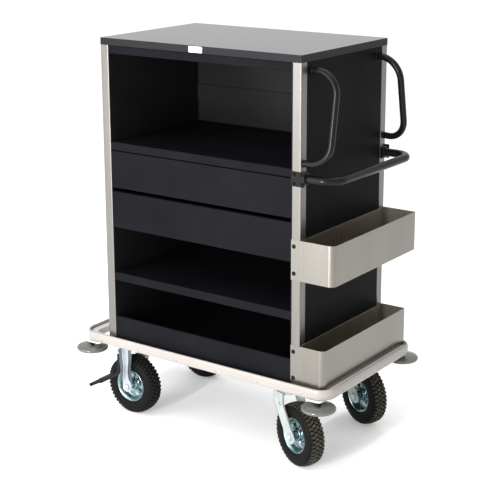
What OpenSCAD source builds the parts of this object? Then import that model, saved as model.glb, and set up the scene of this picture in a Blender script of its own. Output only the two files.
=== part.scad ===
// Housekeeping cart on four air-tyre casters.
// X runs along the cart towards the push handle, -Y is the open front, Z is up from the floor.

/* [Cabinet] */
// Length of the cabinet over its corner posts
cabinet_l = 774; // [640:1:960]
// Depth of the cabinet over its corner posts
cabinet_d = 503; // [420:1:620]
// How far the cabinet sits towards the plain end of the base
cabinet_shift = 5; // [0:1:12]
// Thickness of the top slab
slab_t = 23; // [15:1:35]
// Width of a square corner post
post_w = 32; // [24:1:40]
// Wall of a corner post
post_wall = 1.6; // [1:0.1:3]
// Thickness of the cabinet's sheet steel
sheet = 1.5; // [1:0.1:2.5]
// Height of the front rail under the top slab
header_h = 27; // [18:1:40]

/* [Shelves and drawers] */
// Height of the open compartment over the upper deck
compartment_h = 289.5; // [200:0.5:400]
// Height of the upper deck's front rail
deck_rail_h = 27; // [18:1:36]
// Height of one drawer front
drawer_h = 124; // [90:1:130]
// Finger gap between the two drawer fronts
finger_gap = 12; // [9:1:20]
// Clearance around a drawer front
front_gap = 2.5; // [1.5:0.1:4]
// Depth of a drawer front's folded edges
front_depth = 18; // [10:1:30]
// Free depth behind a closed drawer's tray
tray_back_gap = 49; // [10:1:120]
// Height of a drawer tray's walls
tray_h = 92; // [60:1:95]
// Height of one runner channel
runner_h = 35; // [25:1:45]
// Width of one pair of runners beside the tray
runner_w = 12.7; // [10:0.1:18]
// Clearance between the sliding faces of a pair of runners
runner_gap = 0.5; // [0.4:0.1:1]
// Height of the bay between the lower drawer and the middle shelf
upper_bay_h = 156; // [100:1:250]
// Height of the bay between the middle shelf and the bottom tray's lip
lower_bay_h = 126; // [80:1:250]
// Height of the middle shelf's front lip
shelf_lip_h = 29; // [15:1:45]
// Height of the bottom tray's front lip
tray_lip_h = 73; // [40:1:100]

/* [Base] */
// How far the vinyl bumper stands out past each end of the cabinet
end_margin = 110; // [100:1:160]
// How far the vinyl bumper stands out past the front and the back of the cabinet
side_margin = 24.5; // [21:0.5:60]
// Outer radius of the vinyl bumper's corners
base_r = 56; // [45:1:70]
// Size of the base's square tube
tube_w = 25; // [20:1:32]
// Wall of the base's square tube
tube_wall = 2; // [1.5:0.1:3]
// Height of the tube's upper face above the tyres
base_rise = 74; // [72:1:100]
// Thickness of the vinyl bumper
bumper_t = 10; // [6:0.5:14]
// Height of the vinyl bumper
bumper_h = 33; // [27:1:45]
// How far the vinyl stands above the tube
bumper_rise = 9; // [2:1:12]
// Thickness of the deck plate under the cabinet
plate_t = 6; // [3:0.5:10]
// Thickness of the caster pads and corner gussets
pad_t = 5; // [4:0.5:8]

/* [Corner roller bumpers] */
// Radius of a roller bumper
roller_r = 54; // [40:1:60]
// Thickness of a roller bumper
roller_t = 20; // [14:1:26]
// Distance from the base's end to a roller's centre
roller_in_x = 37; // [30:1:48]
// Distance from the base's side to a roller's centre
roller_in_y = 14; // [10:1:24]
// Gap between a corner gusset and the roller under it
roller_drop = 10; // [6:1:14]
// Radius of a roller's bolt
roller_bolt_r = 5; // [4:0.5:7]

/* [Casters] */
// Outer radius of a tyre
tyre_r = 101.5; // [85:0.5:125]
// Radius of the tyre's round section
tyre_section_r = 30; // [26:0.5:32]
// Thickness of the tyre's carcass
tyre_wall = 6; // [4:0.5:9]
// Radius of the rim's bead seat
bead_r = 50.8; // [46:0.1:54]
// Height of the rim's flange above the bead seat
flange_h = 7; // [5:0.5:9]
// Half of the width between the rim's flanges
bead_half_w = 22; // [18:0.5:24]
// Thickness of the rim's pressed steel
rim_t = 2.5; // [1.5:0.1:3.5]
// Radius of the wheel axles
axle_r = 6; // [5:0.5:8]
// Distance from the base's end to a caster's centre
caster_in_x = 178; // [160:1:240]
// How far right of the base's middle the four casters sit
caster_shift = -8.5; // [-12:0.5:12]
// Distance from the base's side to a caster's centre
caster_in_y = 78; // [74:1:100]
// Trail of the swivelling casters
trail = 60; // [40:1:62]
// Where the front swivelling caster is turned to, in degrees
front_turn = -21; // [-45:1:45]
// Where the rear swivelling caster is turned to, in degrees
rear_turn = -23; // [-45:1:45]
// Length of a caster's top plate
caster_plate_l = 115; // [100:1:125]
// Width of a caster's top plate
caster_plate_w = 92; // [84:1:100]
// Thickness of a caster's top plate and fork legs
fork_t = 4; // [3:0.5:6]
// Gap between a tyre and a fork leg
fork_gap = 6; // [4:0.5:10]
// Width of a fork leg
leg_w = 40; // [32:1:46]
// Radius of the kingpins
kingpin_r = 8; // [6:0.5:10]
// Radial clearance of the shafts and pins in their bores
running_fit = 0.08; // [0.04:0.01:0.1]

/* [Handles] */
// Height from the push handle's centreline up to the deck
push_drop = 29; // [0:1:60]
// Radius of the push handle's tube
push_r = 13; // [10:0.5:16]
// Reach of the push handle's centreline from the cabinet
push_reach = 107; // [80:1:110]
// Bend radius of the push handle
push_bend = 55; // [40:1:70]
// Radius of the lift handles' tube
lift_r = 10; // [8:0.5:12]
// Reach of the lift handles' centreline from the cabinet
lift_reach = 87; // [70:1:105]
// Bend radius of the lift handles
lift_bend = 48; // [30:1:55]
// Height of the lift handles' lower ends above the deck
lift_low = 22; // [18:1:60]
// Height from the lift handles' upper ends up to the top slab
lift_drop = 28; // [20:1:60]
// How far the upper ends stand in from the posts' centres
lift_lean = 44; // [0:1:60]
// How far the lift handles turn towards each other, in degrees
lift_turn = 8; // [0:1:12]
// Wall of the handles' tubes
handle_wall = 2; // [1.5:0.1:3]

/* [Side bins] */
// Reach of the upper bin from the cabinet
upper_bin_reach = 118; // [80:1:119]
// Clearance between the lower bin's rear corner and the vinyl bumper
lower_bin_gap = 2; // [1:0.5:10]
// Height of both bins
bin_h = 127; // [100:1:160]
// Height of the upper bin's underside above the middle shelf
upper_bin_rise = 102; // [60:1:180]
// Outer radius of a bin's front corner
bin_r = 20; // [8:1:30]
// Thickness of the bins' sheet
bin_t = 1.2; // [0.8:0.1:2]

/* [Foot brakes] */
// Thickness of a brake lever's arms
brake_t = 5; // [4:0.5:6]
// Width of a brake lever's arms
brake_w = 12; // [9:1:14]
// Gap between the brake shoe and the tyre while the brake is off
shoe_gap = 14; // [12:1:18]
// Reach of the pedal past the tyre
pedal_out = 60; // [52:1:72]
// Height of the pedal above the floor
pedal_z = 74; // [60:1:85]

/* [Fasteners] */
// Radius of the small domed screws' heads
screw_r = 4; // [3:0.5:5]
// Height of the small domed screws' heads
screw_head = 2; // [1.5:0.1:3]
// Distance across the flats of the caster bolts
bolt_af = 15; // [12:1:17]

/* [Label] */
// Length of the blank label plate
label_l = 52; // [30:1:80]
// Height of the blank label plate
label_h = 19; // [12:1:22]

/* [Hidden] */
$fn = 64;

// A cut runs this far past the face that it opens
cut = 1;
// Small gap between neighbouring parts that don't touch
play = 0.5;

// Cabinet: half sizes, the opening between the posts, and the main heights
half_l = cabinet_l / 2;
half_d = cabinet_d / 2;
open_x = half_l - post_w;
open_y = half_d - post_w;
bay_x = open_x - sheet;
base_z = 2 * tyre_r + base_rise;
floor_z = base_z + plate_t;
lip_top = floor_z + tray_lip_h;
shelf_z = lip_top + lower_bay_h + shelf_lip_h;
lower_front_z = shelf_z + upper_bay_h;
upper_front_z = lower_front_z + drawer_h + finger_gap;
deck_under = upper_front_z + drawer_h + front_gap;
deck_z = deck_under + deck_rail_h;
header_z = deck_z + compartment_h;
slab_z = header_z + header_h;
slab_over = 1;
panel_in = 1;
panel_edge = post_w - panel_in - sheet;
strip_low = deck_z + 80;
strip_high = deck_z + 131;
strip_proud = 4;

// Drawers: the trays hang on runners beside the inner panels
front_half = bay_x - front_gap / 2;
tray_half = bay_x - runner_w;
tray_in = front_depth + 4;
tray_l = cabinet_d - post_w - tray_in - tray_back_gap;
tray_lift = 14;
tray_sheet = 1.2;
runner_t = 1.5;
slide_h = runner_h - 2 * runner_t - 2 * runner_gap;

// Base: the tube's outer face lies behind the vinyl
base_l = cabinet_l + 2 * end_margin;
base_w = cabinet_d + 2 * side_margin;
tube_l = base_l - 2 * bumper_t;
tube_y = base_w - 2 * bumper_t;
tube_r = base_r - bumper_t;
tube_under = base_z - tube_w;
pad_under = tube_under - pad_t;
bumper_z = base_z + bumper_rise - bumper_h;
bumper_edge = 4;
roller_x = base_l / 2 - roller_in_x;
roller_y = base_w / 2 - roller_in_y;
roller_top = pad_under - roller_drop;
gusset_r = 14;
roller_hub_r = 14;
pad_over = 7;
screw_z = bumper_z + 9;
end_screws = 4;
side_screws = 6;

// Casters: plates under the pads, legs down to the axles
caster_x = base_l / 2 - caster_in_x;
caster_y = base_w / 2 - caster_in_y;
caster_left = caster_shift - caster_x;
caster_right = caster_shift + caster_x;
fork_half_w = tyre_section_r + fork_gap;
plate_z = pad_under - fork_t - 1;
crown_top = plate_z - 10;
crown_t = 8;
crown_r = 37;
hub_half = fork_half_w - play;
hub_r = axle_r + 9;
axle_half = fork_half_w + fork_t;
axle_af = 19;
axle_head = 8;
axle_z = tyre_r;
leg_fold = 5;
bolt_in = 11;
bolt_head = 6;
lug_count = 4;
lug_ring = (hub_r + bead_r - 6) / 2;

// Brake: the pivot stands ahead of the leg under the plate
pivot_x = -leg_w / 2 - 9;
pivot_z = crown_top - 8;
pin_r = 4;
ear = pin_r + 4;
pedal_reach = tyre_r + pedal_out;
arm_y = axle_half + leg_fold + play;
elbow_x = pivot_x;
elbow_z = axle_z + 44;
shoe_w = 10;
shoe_x = -tyre_r - shoe_gap - shoe_w / 2;
shoe_z = pedal_z + (elbow_z - pedal_z) * (pedal_reach + shoe_x) / (pedal_reach + elbow_x);
pedal_half = arm_y + brake_t;

// Handles
push_half = half_d - post_w / 2;
push_z = deck_z - push_drop;
push_x = half_l;
clamp_h = 45;
clamp_t = 4;
clamp_out = 14;
lift_low_z = deck_z + lift_low;
lift_high_z = slab_z - lift_drop;
lift_mid_z = (lift_low_z + lift_high_z) / 2;
lift_tilt = atan(lift_lean / (lift_high_z - lift_low_z));
lift_span = (lift_high_z - lift_low_z) / cos(lift_tilt);
rose_r = lift_r + 7;
rose_t = 3;

// Bins: the lower one reaches out as far as the vinyl's inner corner leaves room
upper_bin_z = shelf_z + upper_bin_rise;
lower_bin_z = base_z + 1;
corner_in = half_d + bin_t - (base_w / 2 - base_r);
corner_out = sqrt(pow(base_r - bumper_t - lower_bin_gap, 2) - pow(corner_in, 2));
lower_bin_reach = base_l / 2 - base_r + corner_out - half_l + cabinet_shift;

// ---------- shared shapes ----------

module rounded_rect(l, w, r) {
    square([l - 2 * r, w], center = true);
    square([l, w - 2 * r], center = true);
    for (sx = [-1, 1])
        for (sy = [-1, 1])
            translate([sx * (l / 2 - r), sy * (w / 2 - r)])
                circle(r);
}

// A band that follows the base's outline: its outer size, thickness and height
module base_band(l, w, r, t, h) {
    linear_extrude(h)
        difference() {
            rounded_rect(l, w, r);
            rounded_rect(l - 2 * t, w - 2 * t, r - t);
        }
}

// A quarter bend in the XY plane from the origin along +X, turning towards +Y
module bend(r, tube) {
    translate([0, r, 0])
        rotate([0, 0, -90])
            rotate_extrude(angle = 90)
                translate([r, 0])
                    circle(tube);
}

// A U-shaped bar in the XY plane: ends at X = 0, Y = +-half, reaching out along +X
module u_bar(half, reach, r, tube) {
    for (s = [0, 1])
        mirror([0, s, 0])
            translate([0, -half, 0]) {
                rotate([0, 90, 0])
                    cylinder(h = reach - r, r = tube);
                translate([reach - r, 0, 0])
                    bend(r, tube);
            }
    translate([reach, r - half, 0])
        rotate([-90, 0, 0])
            cylinder(h = 2 * (half - r), r = tube);
}

// The same bar as a tube
module u_tube(half, reach, r, tube) {
    difference() {
        u_bar(half, reach, r, tube);
        u_bar(half, reach, r, tube - handle_wall);
        translate([-cut, 0, 0])
            for (s = [-1, 1])
                translate([0, s * half, 0])
                    rotate([0, 90, 0])
                        cylinder(h = 2 * cut, r = tube - handle_wall);
    }
}

// A domed screw head that stands on the XY plane
module dome_screw() {
    intersection() {
        cylinder(h = screw_head, r = screw_r);
        translate([0, 0, screw_head - 2 * screw_r])
            sphere(2 * screw_r);
    }
}

module hex_head(af, h) {
    cylinder(h = h, r = af / 2 / cos(30), $fn = 6);
}

// A folded sheet tray, open upwards: outer size with its corner at the origin
module pan(size, t) {
    difference() {
        cube(size);
        translate([t, t, t])
            cube([size[0] - 2 * t, size[1] - 2 * t, size[2]]);
    }
}

// Placed in the cabinet's own frame
module in_cabinet() {
    translate([-cabinet_shift, 0, 0])
        children();
}

// Placed at each of the four corners of the base
module at_corners(x, y) {
    for (sx = [-1, 1])
        for (sy = [-1, 1])
            translate([sx * x, sy * y, 0])
                children();
}

// ---------- base ----------

module base_frame() {
    color("silver")
        difference() {
            union() {
                translate([0, 0, tube_under])
                    base_band(tube_l, tube_y, tube_r, tube_w, tube_w);
                in_cabinet()
                    for (s = [-1, 1])
                        translate([s * (half_l - post_w / 2) - post_w / 2, -tube_y / 2 + tube_w / 2, tube_under])
                            cube([post_w, tube_y - tube_w, tube_w]);
                at_casters()
                    translate([-caster_plate_l / 2 - pad_over, -caster_plate_w / 2 - pad_over, pad_under])
                        cube([caster_plate_l + 2 * pad_over, caster_plate_w + 2 * pad_over, pad_t]);
                at_corners(roller_x, roller_y)
                    translate([0, 0, pad_under])
                        cylinder(h = pad_t, r = gusset_r);
                for (sx = [-1, 1])
                    for (sy = [-1, 1])
                        translate([sx * (roller_x - gusset_r), sy * (roller_y - gusset_r), pad_under + pad_t / 2])
                            cube([2 * gusset_r, 2 * gusset_r, pad_t], center = true);
            }
            translate([0, 0, tube_under + tube_wall])
                base_band(tube_l - 2 * tube_wall, tube_y - 2 * tube_wall, tube_r - tube_wall,
                          tube_w - 2 * tube_wall, tube_w - 2 * tube_wall);
            in_cabinet()
                for (s = [-1, 1])
                    translate([s * (half_l - post_w / 2) - post_w / 2 + tube_wall, -tube_y / 2 + tube_w, tube_under + tube_wall])
                        cube([post_w - 2 * tube_wall, tube_y - 2 * tube_w, tube_w - 2 * tube_wall]);
            at_corners(roller_x, roller_y)
                translate([0, 0, pad_under - cut])
                    cylinder(h = pad_t + cut, r = roller_bolt_r);
        }
}

module vinyl_bumper() {
    color("ivory")
        translate([0, 0, bumper_z]) {
            translate([0, 0, bumper_edge])
                base_band(base_l, base_w, base_r, bumper_t, bumper_h - 2 * bumper_edge);
            for (z = [0, bumper_h - bumper_edge])
                translate([0, 0, z])
                    base_band(base_l - bumper_edge, base_w - bumper_edge, base_r - bumper_edge / 2,
                              bumper_t - bumper_edge / 2, bumper_edge);
        }
}

// The screws that hold the vinyl, spread along each side and each end
module bumper_screws() {
    color("dimgray") {
        for (s = [-1, 1])
            for (i = [0 : side_screws - 1])
                translate([(i / (side_screws - 1) - 0.5) * (base_l - 3 * base_r), s * base_w / 2, screw_z])
                    rotate([-90 * s, 0, 0])
                        dome_screw();
        for (s = [-1, 1])
            for (i = [0 : end_screws - 1])
                translate([s * base_l / 2, (i / (end_screws - 1) - 0.5) * (base_w - 2.6 * base_r), screw_z])
                    rotate([0, 90 * s, 0])
                        dome_screw();
    }
}

// The plate that closes the base under the cabinet, cut clear of the posts
module base_deck() {
    color("#26272b")
        in_cabinet()
            translate([0, 0, base_z]) {
                translate([-half_l, -open_y + play, 0])
                    cube([cabinet_l, 2 * (open_y - play), plate_t]);
                translate([-open_x + play, -half_d - pad_over, 0])
                    cube([2 * (open_x - play), cabinet_d + 2 * pad_over, plate_t]);
            }
}

// ---------- cabinet ----------

// A square tube post with its outer corner at (sx, sy)
module post(sx, sy) {
    color("#cfcac4")
        in_cabinet()
            translate([sx * (half_l - post_w / 2), sy * (half_d - post_w / 2), base_z])
                linear_extrude(slab_z - base_z)
                    difference() {
                        rounded_rect(post_w, post_w, 3);
                        square(post_w - 2 * post_wall, center = true);
                    }
}

module front_left_post() { post(-1, -1); }
module front_right_post() { post(1, -1); }
module rear_left_post() { post(-1, 1); }
module rear_right_post() { post(1, 1); }

// The outer skin of an end wall: a folded pan whose face is outside
module outer_panel(s) {
    color("#2b2c30")
        in_cabinet()
            translate([s * (half_l - panel_in), 0, floor_z])
                rotate([0, -90 * s, 0])
                    translate([s > 0 ? 0 : floor_z - slab_z, play - open_y, 0])
                        pan([slab_z - floor_z, 2 * (open_y - play), panel_edge], sheet);
}

module left_outer_panel() { outer_panel(-1); }
module right_outer_panel() { outer_panel(1); }

// The flat inner skin of an end wall, which covers the posts' inner faces
module inner_panel(s) {
    color("#232428")
        in_cabinet()
            translate([s * (open_x - sheet / 2) - sheet / 2, 1 - half_d, floor_z])
                cube([sheet, half_d + open_y - 1, slab_z - floor_z]);
}

module left_inner_panel() { inner_panel(-1); }
module right_inner_panel() { inner_panel(1); }

module back_outer_panel() {
    color("#2b2c30")
        in_cabinet()
            translate([play - open_x, half_d - panel_in, floor_z])
                rotate([90, 0, 0])
                    pan([2 * (open_x - play), slab_z - floor_z, panel_edge], sheet);
}

// Four strips line the back: one behind the drawers and bays, three in the open compartment
module back_inner_strips() {
    color("#232428")
        in_cabinet() {
            back_strip(floor_z, deck_under, 0);
            back_strip(deck_z, strip_low, 0);
            back_strip(strip_low + play, strip_high - play, strip_proud);
            back_strip(strip_high, slab_z, 0);
        }
}

// One strip between two heights; a proud strip is a folded rail
module back_strip(low, high, proud) {
    translate([play - bay_x, open_y - proud, low])
        difference() {
            cube([2 * (bay_x - play), sheet + proud, high - low]);
            if (proud > 0)
                translate([sheet, sheet, sheet])
                    cube([2 * (bay_x - play - sheet), sheet + proud, high - low - 2 * sheet]);
        }
}

module top_slab() {
    color("#1d1e21")
        in_cabinet()
            translate([0, 0, slab_z])
                linear_extrude(slab_t)
                    rounded_rect(cabinet_l + 2 * slab_over, cabinet_d + 2 * slab_over, 4);
}

// A channel across the top of the opening, with its web in front
module front_header_rail() {
    color("#2b2c30")
        in_cabinet()
            translate([play - bay_x, 2 - half_d, header_z])
                difference() {
                    cube([2 * (bay_x - play), post_w - 4, header_h]);
                    translate([-cut, sheet, sheet])
                        cube([2 * bay_x + 2 * cut, post_w, header_h - 2 * sheet]);
                }
}

// A shelf is a sheet with its front and back edges folded down
module shelf(z, lip, back) {
    translate([play - bay_x, 1 - half_d, z - lip])
        difference() {
            cube([2 * (bay_x - play), half_d + back - 1, lip]);
            translate([-cut, sheet, -sheet])
                cube([2 * bay_x + 2 * cut, half_d + back - 1 - 2 * sheet, lip]);
        }
}

module upper_deck() {
    color("#2b2c30")
        in_cabinet()
            shelf(deck_z, deck_rail_h, open_y + sheet);
}

module middle_shelf() {
    color("#2b2c30")
        in_cabinet()
            shelf(shelf_z, shelf_lip_h, open_y - play);
}

// The bottom tray's sheet lies on the base deck, with a tall lip in front
module bottom_tray() {
    color("#2b2c30")
        in_cabinet()
            translate([play - bay_x, 1 - half_d, floor_z]) {
                cube([2 * (bay_x - play), half_d + open_y - 1 - play, sheet]);
                cube([2 * (bay_x - play), sheet, lip_top - floor_z]);
                translate([0, 0, lip_top - floor_z - sheet])
                    cube([2 * (bay_x - play), 12, sheet]);
                translate([0, 12 - sheet, lip_top - floor_z - 10])
                    cube([2 * (bay_x - play), sheet, 10]);
            }
}

// The small domed screws: bins on the posts, lift handles, shelf fixings and the back strips
module cabinet_screws() {
    color("#3a3b3f")
        in_cabinet() {
            for (z = [upper_bin_z, lower_bin_z])
                for (dz = [21, bin_h - 21])
                    translate([open_x + 10, -half_d - bin_t, z + dz])
                        rotate([90, 0, 0])
                            dome_screw();
            for (s = [-1, 1])
                for (y = [35 - half_d, open_y - 72])
                    for (z = [deck_z + 91, deck_z + 138])
                        translate([s * bay_x, y, z])
                            rotate([0, -90 * s, 0])
                                dome_screw();
            for (p = [[-0.8, 69], [0.8, 69], [0.08, 29]])
                translate([p[0] * bay_x, open_y, deck_z + p[1]])
                    rotate([90, 0, 0])
                        dome_screw();
        }
}

module label_plate() {
    color("#d8dadc")
        in_cabinet()
            translate([-label_l / 2, -half_d - slab_over - 1, slab_z + 2])
                cube([label_l, 1, label_h]);
}

// ---------- handles ----------

// A lift handle: lower end on the post, upper end leaning in over the end panel
module lift_handle(s) {
    color("#1c1c1e")
        in_cabinet()
            translate([half_l, s * (half_d - post_w / 2 - lift_lean / 2), lift_mid_z])
                rotate([s * lift_tilt, 0, 0])
                    difference() {
                        union() {
                            rotate([90, 0, -s * lift_turn])
                                translate([-lift_r, 0, 0])
                                    u_tube(lift_span / 2, lift_reach + lift_r, lift_bend, lift_r);
                            for (e = [-1, 1])
                                translate([0, 0, e * lift_span / 2])
                                    rotate([0, 90, 0])
                                        difference() {
                                            cylinder(h = rose_t, r = rose_r);
                                            translate([0, 0, -cut])
                                                cylinder(h = rose_t + 2 * cut, r = lift_r - cut);
                                        }
                        }
                        translate([-2 * lift_reach, -lift_reach, -lift_span])
                            cube([2 * lift_reach, 2 * lift_reach, 2 * lift_span]);
                    }
}

module front_lift_handle() { lift_handle(-1); }
module rear_lift_handle() { lift_handle(1); }

module push_handle() {
    color("#1c1c1e")
        in_cabinet()
            translate([push_x + play, 0, push_z])
                u_tube(push_half, push_reach, push_bend, push_r);
}

// A clamp on each post at the handle's end: a front plate and a socket for the tube
module push_handle_clamps() {
    color("#1c1c1e")
        in_cabinet()
            for (s = [-1, 1])
                difference() {
                    union() {
                        translate([half_l, s * push_half - post_w / 2, push_z - clamp_h / 2])
                            cube([clamp_out, post_w, clamp_h]);
                        translate([open_x, s * (half_d + clamp_t / 2) - clamp_t / 2, push_z - clamp_h / 2])
                            cube([post_w + clamp_out, clamp_t, clamp_h]);
                    }
                    translate([half_l - cut, s * push_half, push_z])
                        rotate([0, 90, 0])
                            cylinder(h = clamp_out + 2 * cut, r = push_r);
                }
}

module clamp_bolts() {
    color("#55565a")
        in_cabinet()
            for (s = [-1, 1])
                for (x = [open_x + 9, half_l + clamp_out - 9])
                    for (dz = [-1, 1])
                        translate([x, s * (half_d + clamp_t), push_z + dz * (clamp_h / 2 - 8)])
                            rotate([-90 * s, 0, 0])
                                hex_head(10, 4);
}

// ---------- bins ----------

// An open bin with a rounded front corner; its front runs on over the post's face
module side_bin(z, reach) {
    color("#c9c5bf")
        in_cabinet()
            translate([half_l, 0, z])
                difference() {
                    union() {
                        linear_extrude(bin_h)
                            bin_outline(reach, 0);
                        translate([-post_w, -half_d - bin_t, 0])
                            cube([post_w + bin_r, bin_t, bin_h]);
                    }
                    translate([0, 0, bin_t])
                        linear_extrude(bin_h)
                            bin_outline(reach, bin_t);
                }
}

// The bin's plan, drawn in from its outer size by a margin
module bin_outline(reach, margin) {
    r = bin_r - margin;
    difference() {
        translate([margin, -half_d - bin_t + margin])
            square([reach - 2 * margin, cabinet_d + 2 * bin_t - 2 * margin]);
        translate([reach - bin_r, -half_d - bin_t + margin - cut])
            square([bin_r + cut, r + cut]);
    }
    translate([reach - bin_r, -half_d - bin_t + bin_r])
        circle(r);
}

module upper_bin() { side_bin(upper_bin_z, upper_bin_reach); }
module lower_bin() { side_bin(lower_bin_z, lower_bin_reach); }

// ---------- drawers ----------

// The height of a drawer's runner above the bottom edge of its front
function runner_z(z) = z + drawer_h / 2 - runner_h / 2;

// The fixed channels: one pair for each drawer
module cabinet_runners() {
    color("#b9bcc0")
        in_cabinet()
            for (z = [upper_front_z, lower_front_z])
                for (s = [0, 1])
                    mirror([s, 0, 0])
                        translate([tray_half + runner_gap, tray_in - half_d, runner_z(z)])
                            difference() {
                                cube([runner_w - runner_gap, tray_l, runner_h]);
                                translate([-cut, -cut, runner_t])
                                    cube([runner_w - runner_gap - runner_t + cut, tray_l + 2 * cut, runner_h - 2 * runner_t]);
                            }
}

// The sliding bars that the tray carries inside the fixed channels
module drawer_runners(z) {
    color("#b9bcc0")
        in_cabinet()
            for (s = [0, 1])
                mirror([s, 0, 0])
                    translate([tray_half, tray_in - half_d, runner_z(z) + (runner_h - slide_h) / 2])
                        cube([runner_w - runner_t - runner_gap, tray_l, slide_h]);
}

// A folded front with a hooked lower edge
module drawer_front(z) {
    color("#2d2e33")
        in_cabinet()
            translate([-front_half, 1 - half_d, z])
                rotate([90, 0, 0])
                    mirror([0, 0, 1])
                        pan([2 * front_half, drawer_h, front_depth], sheet);
}

module drawer_tray(z) {
    color("#232428")
        in_cabinet()
            translate([-tray_half, front_depth + 1 - half_d, z + tray_lift])
                pan([2 * tray_half, tray_l + tray_in - front_depth - 1, tray_h], tray_sheet);
}

module upper_drawer_front() { drawer_front(upper_front_z); }
module upper_drawer_tray() { drawer_tray(upper_front_z); }
module upper_drawer_runners() { drawer_runners(upper_front_z); }
module lower_drawer_front() { drawer_front(lower_front_z); }
module lower_drawer_tray() { drawer_tray(lower_front_z); }
module lower_drawer_runners() { drawer_runners(lower_front_z); }

// ---------- casters ----------

module caster_plate() {
    translate([-caster_plate_l / 2, -caster_plate_w / 2, plate_z])
        cube([caster_plate_l, caster_plate_w, pad_under - plate_z]);
}

module caster_bolts() {
    color("#b9bcc0")
        at_casters()
            at_corners(caster_plate_l / 2 - bolt_in, caster_plate_w / 2 - bolt_in)
                translate([0, 0, plate_z - bolt_head])
                    hex_head(bolt_af, bolt_head);
}

// A leg in the XZ plane from the crown down to the axle at (reach, axle_z), with folded edges
module fork_leg(reach, top) {
    translate([0, fork_half_w + fork_t, 0])
        rotate([90, 0, 0])
            linear_extrude(fork_t) {
                polygon([
                    [-leg_w / 2, top], [leg_w / 2, top],
                    [reach + leg_w / 2, axle_z], [reach - leg_w / 2, axle_z]
                ]);
                translate([reach, axle_z])
                    circle(leg_w / 2);
            }
}

// Folded edges on an upright leg
module leg_edges(top) {
    for (x = [-leg_w / 2, leg_w / 2 - fork_t / 2])
        translate([x, fork_half_w, axle_z + leg_w])
            cube([fork_t / 2, fork_t + leg_fold, top - axle_z - leg_w]);
}

module both_sides() {
    for (s = [0, 1])
        mirror([0, s, 0])
            children();
}

// A rigid fork with its plate, and ears ahead of the legs for the brake's pin
module rigid_fork() {
    color("#b4bac2")
        difference() {
            union() {
                caster_plate();
                both_sides() {
                    fork_leg(0, plate_z);
                    leg_edges(plate_z);
                    translate([pivot_x - ear, fork_half_w, pivot_z - ear])
                        cube([ear - pivot_x, fork_t, plate_z - pivot_z + ear]);
                }
            }
            translate([0, 0, axle_z])
                rotate([90, 0, 0])
                    cylinder(h = 4 * axle_half, r = axle_r, center = true);
            translate([pivot_x, 0, pivot_z])
                rotate([90, 0, 0])
                    cylinder(h = 4 * axle_half, r = pin_r, center = true);
        }
}

module at_casters() { translate([caster_shift, 0, 0]) at_corners(caster_x, caster_y) children(); }
module at_front_left() { translate([caster_left, -caster_y, 0]) children(); }
module at_rear_left() { translate([caster_left, caster_y, 0]) children(); }
module at_front_swivel() { translate([caster_right, -caster_y, 0]) rotate([0, 0, front_turn]) children(); }
module at_rear_swivel() { translate([caster_right, caster_y, 0]) rotate([0, 0, rear_turn]) children(); }

module front_rigid_fork() { at_front_left() rigid_fork(); }
module rear_rigid_fork() { at_rear_left() rigid_fork(); }

// An axle bolt through both legs, with its head outside one and its nut outside the other
module axle_bolt() {
    color("#b9bcc0")
        translate([0, 0, axle_z])
            rotate([90, 0, 0]) {
                cylinder(h = 2 * axle_half, r = axle_r, center = true);
                translate([0, 0, axle_half])
                    hex_head(axle_af, axle_head);
                translate([0, 0, -axle_half - axle_head])
                    hex_head(axle_af, axle_head);
            }
}

module rigid_axles() {
    at_front_left() axle_bolt();
    at_rear_left() axle_bolt();
}

// The fixed half of a swivel: plate, upper race and the kingpin riveted to them
module swivel_top() {
    color("#b4bac2") {
        caster_plate();
        translate([0, 0, crown_top + play])
            cylinder(h = plate_z - crown_top - play, r = crown_r - 4);
        translate([0, 0, crown_top - crown_t - 3])
            cylinder(h = crown_t + 3 + play, r = kingpin_r);
        translate([0, 0, crown_top - crown_t - 3 - bolt_head])
            cylinder(h = bolt_head, r = kingpin_r + 5);
    }
}

module swivel_top_plates() {
    for (s = [-1, 1])
        translate([caster_right, s * caster_y, 0])
            swivel_top();
}

// The turning half: a crown on the kingpin and two raked legs
module swivel_fork() {
    color("#b4bac2")
        difference() {
            union() {
                translate([0, 0, crown_top - crown_t])
                    cylinder(h = crown_t, r = crown_r);
                translate([-leg_w / 2, -axle_half, crown_top - crown_t])
                    cube([leg_w, 2 * axle_half, crown_t]);
                both_sides()
                    fork_leg(trail, crown_top);
            }
            translate([0, 0, crown_top - crown_t - cut])
                cylinder(h = crown_t + 2 * cut, r = kingpin_r + running_fit);
            translate([trail, 0, axle_z])
                rotate([90, 0, 0])
                    cylinder(h = 4 * axle_half, r = axle_r, center = true);
        }
}

module front_swivel_fork() { at_front_swivel() swivel_fork(); }
module rear_swivel_fork() { at_rear_swivel() swivel_fork(); }
module front_swivel_axle() { at_front_swivel() translate([trail, 0, 0]) axle_bolt(); }
module rear_swivel_axle() { at_rear_swivel() translate([trail, 0, 0]) axle_bolt(); }

// ---------- wheels ----------

// The wheel's own frame is turned so that its axis lies along Y
module on_axle() {
    translate([0, 0, axle_z])
        rotate([90, 0, 0])
            children();
}

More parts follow.
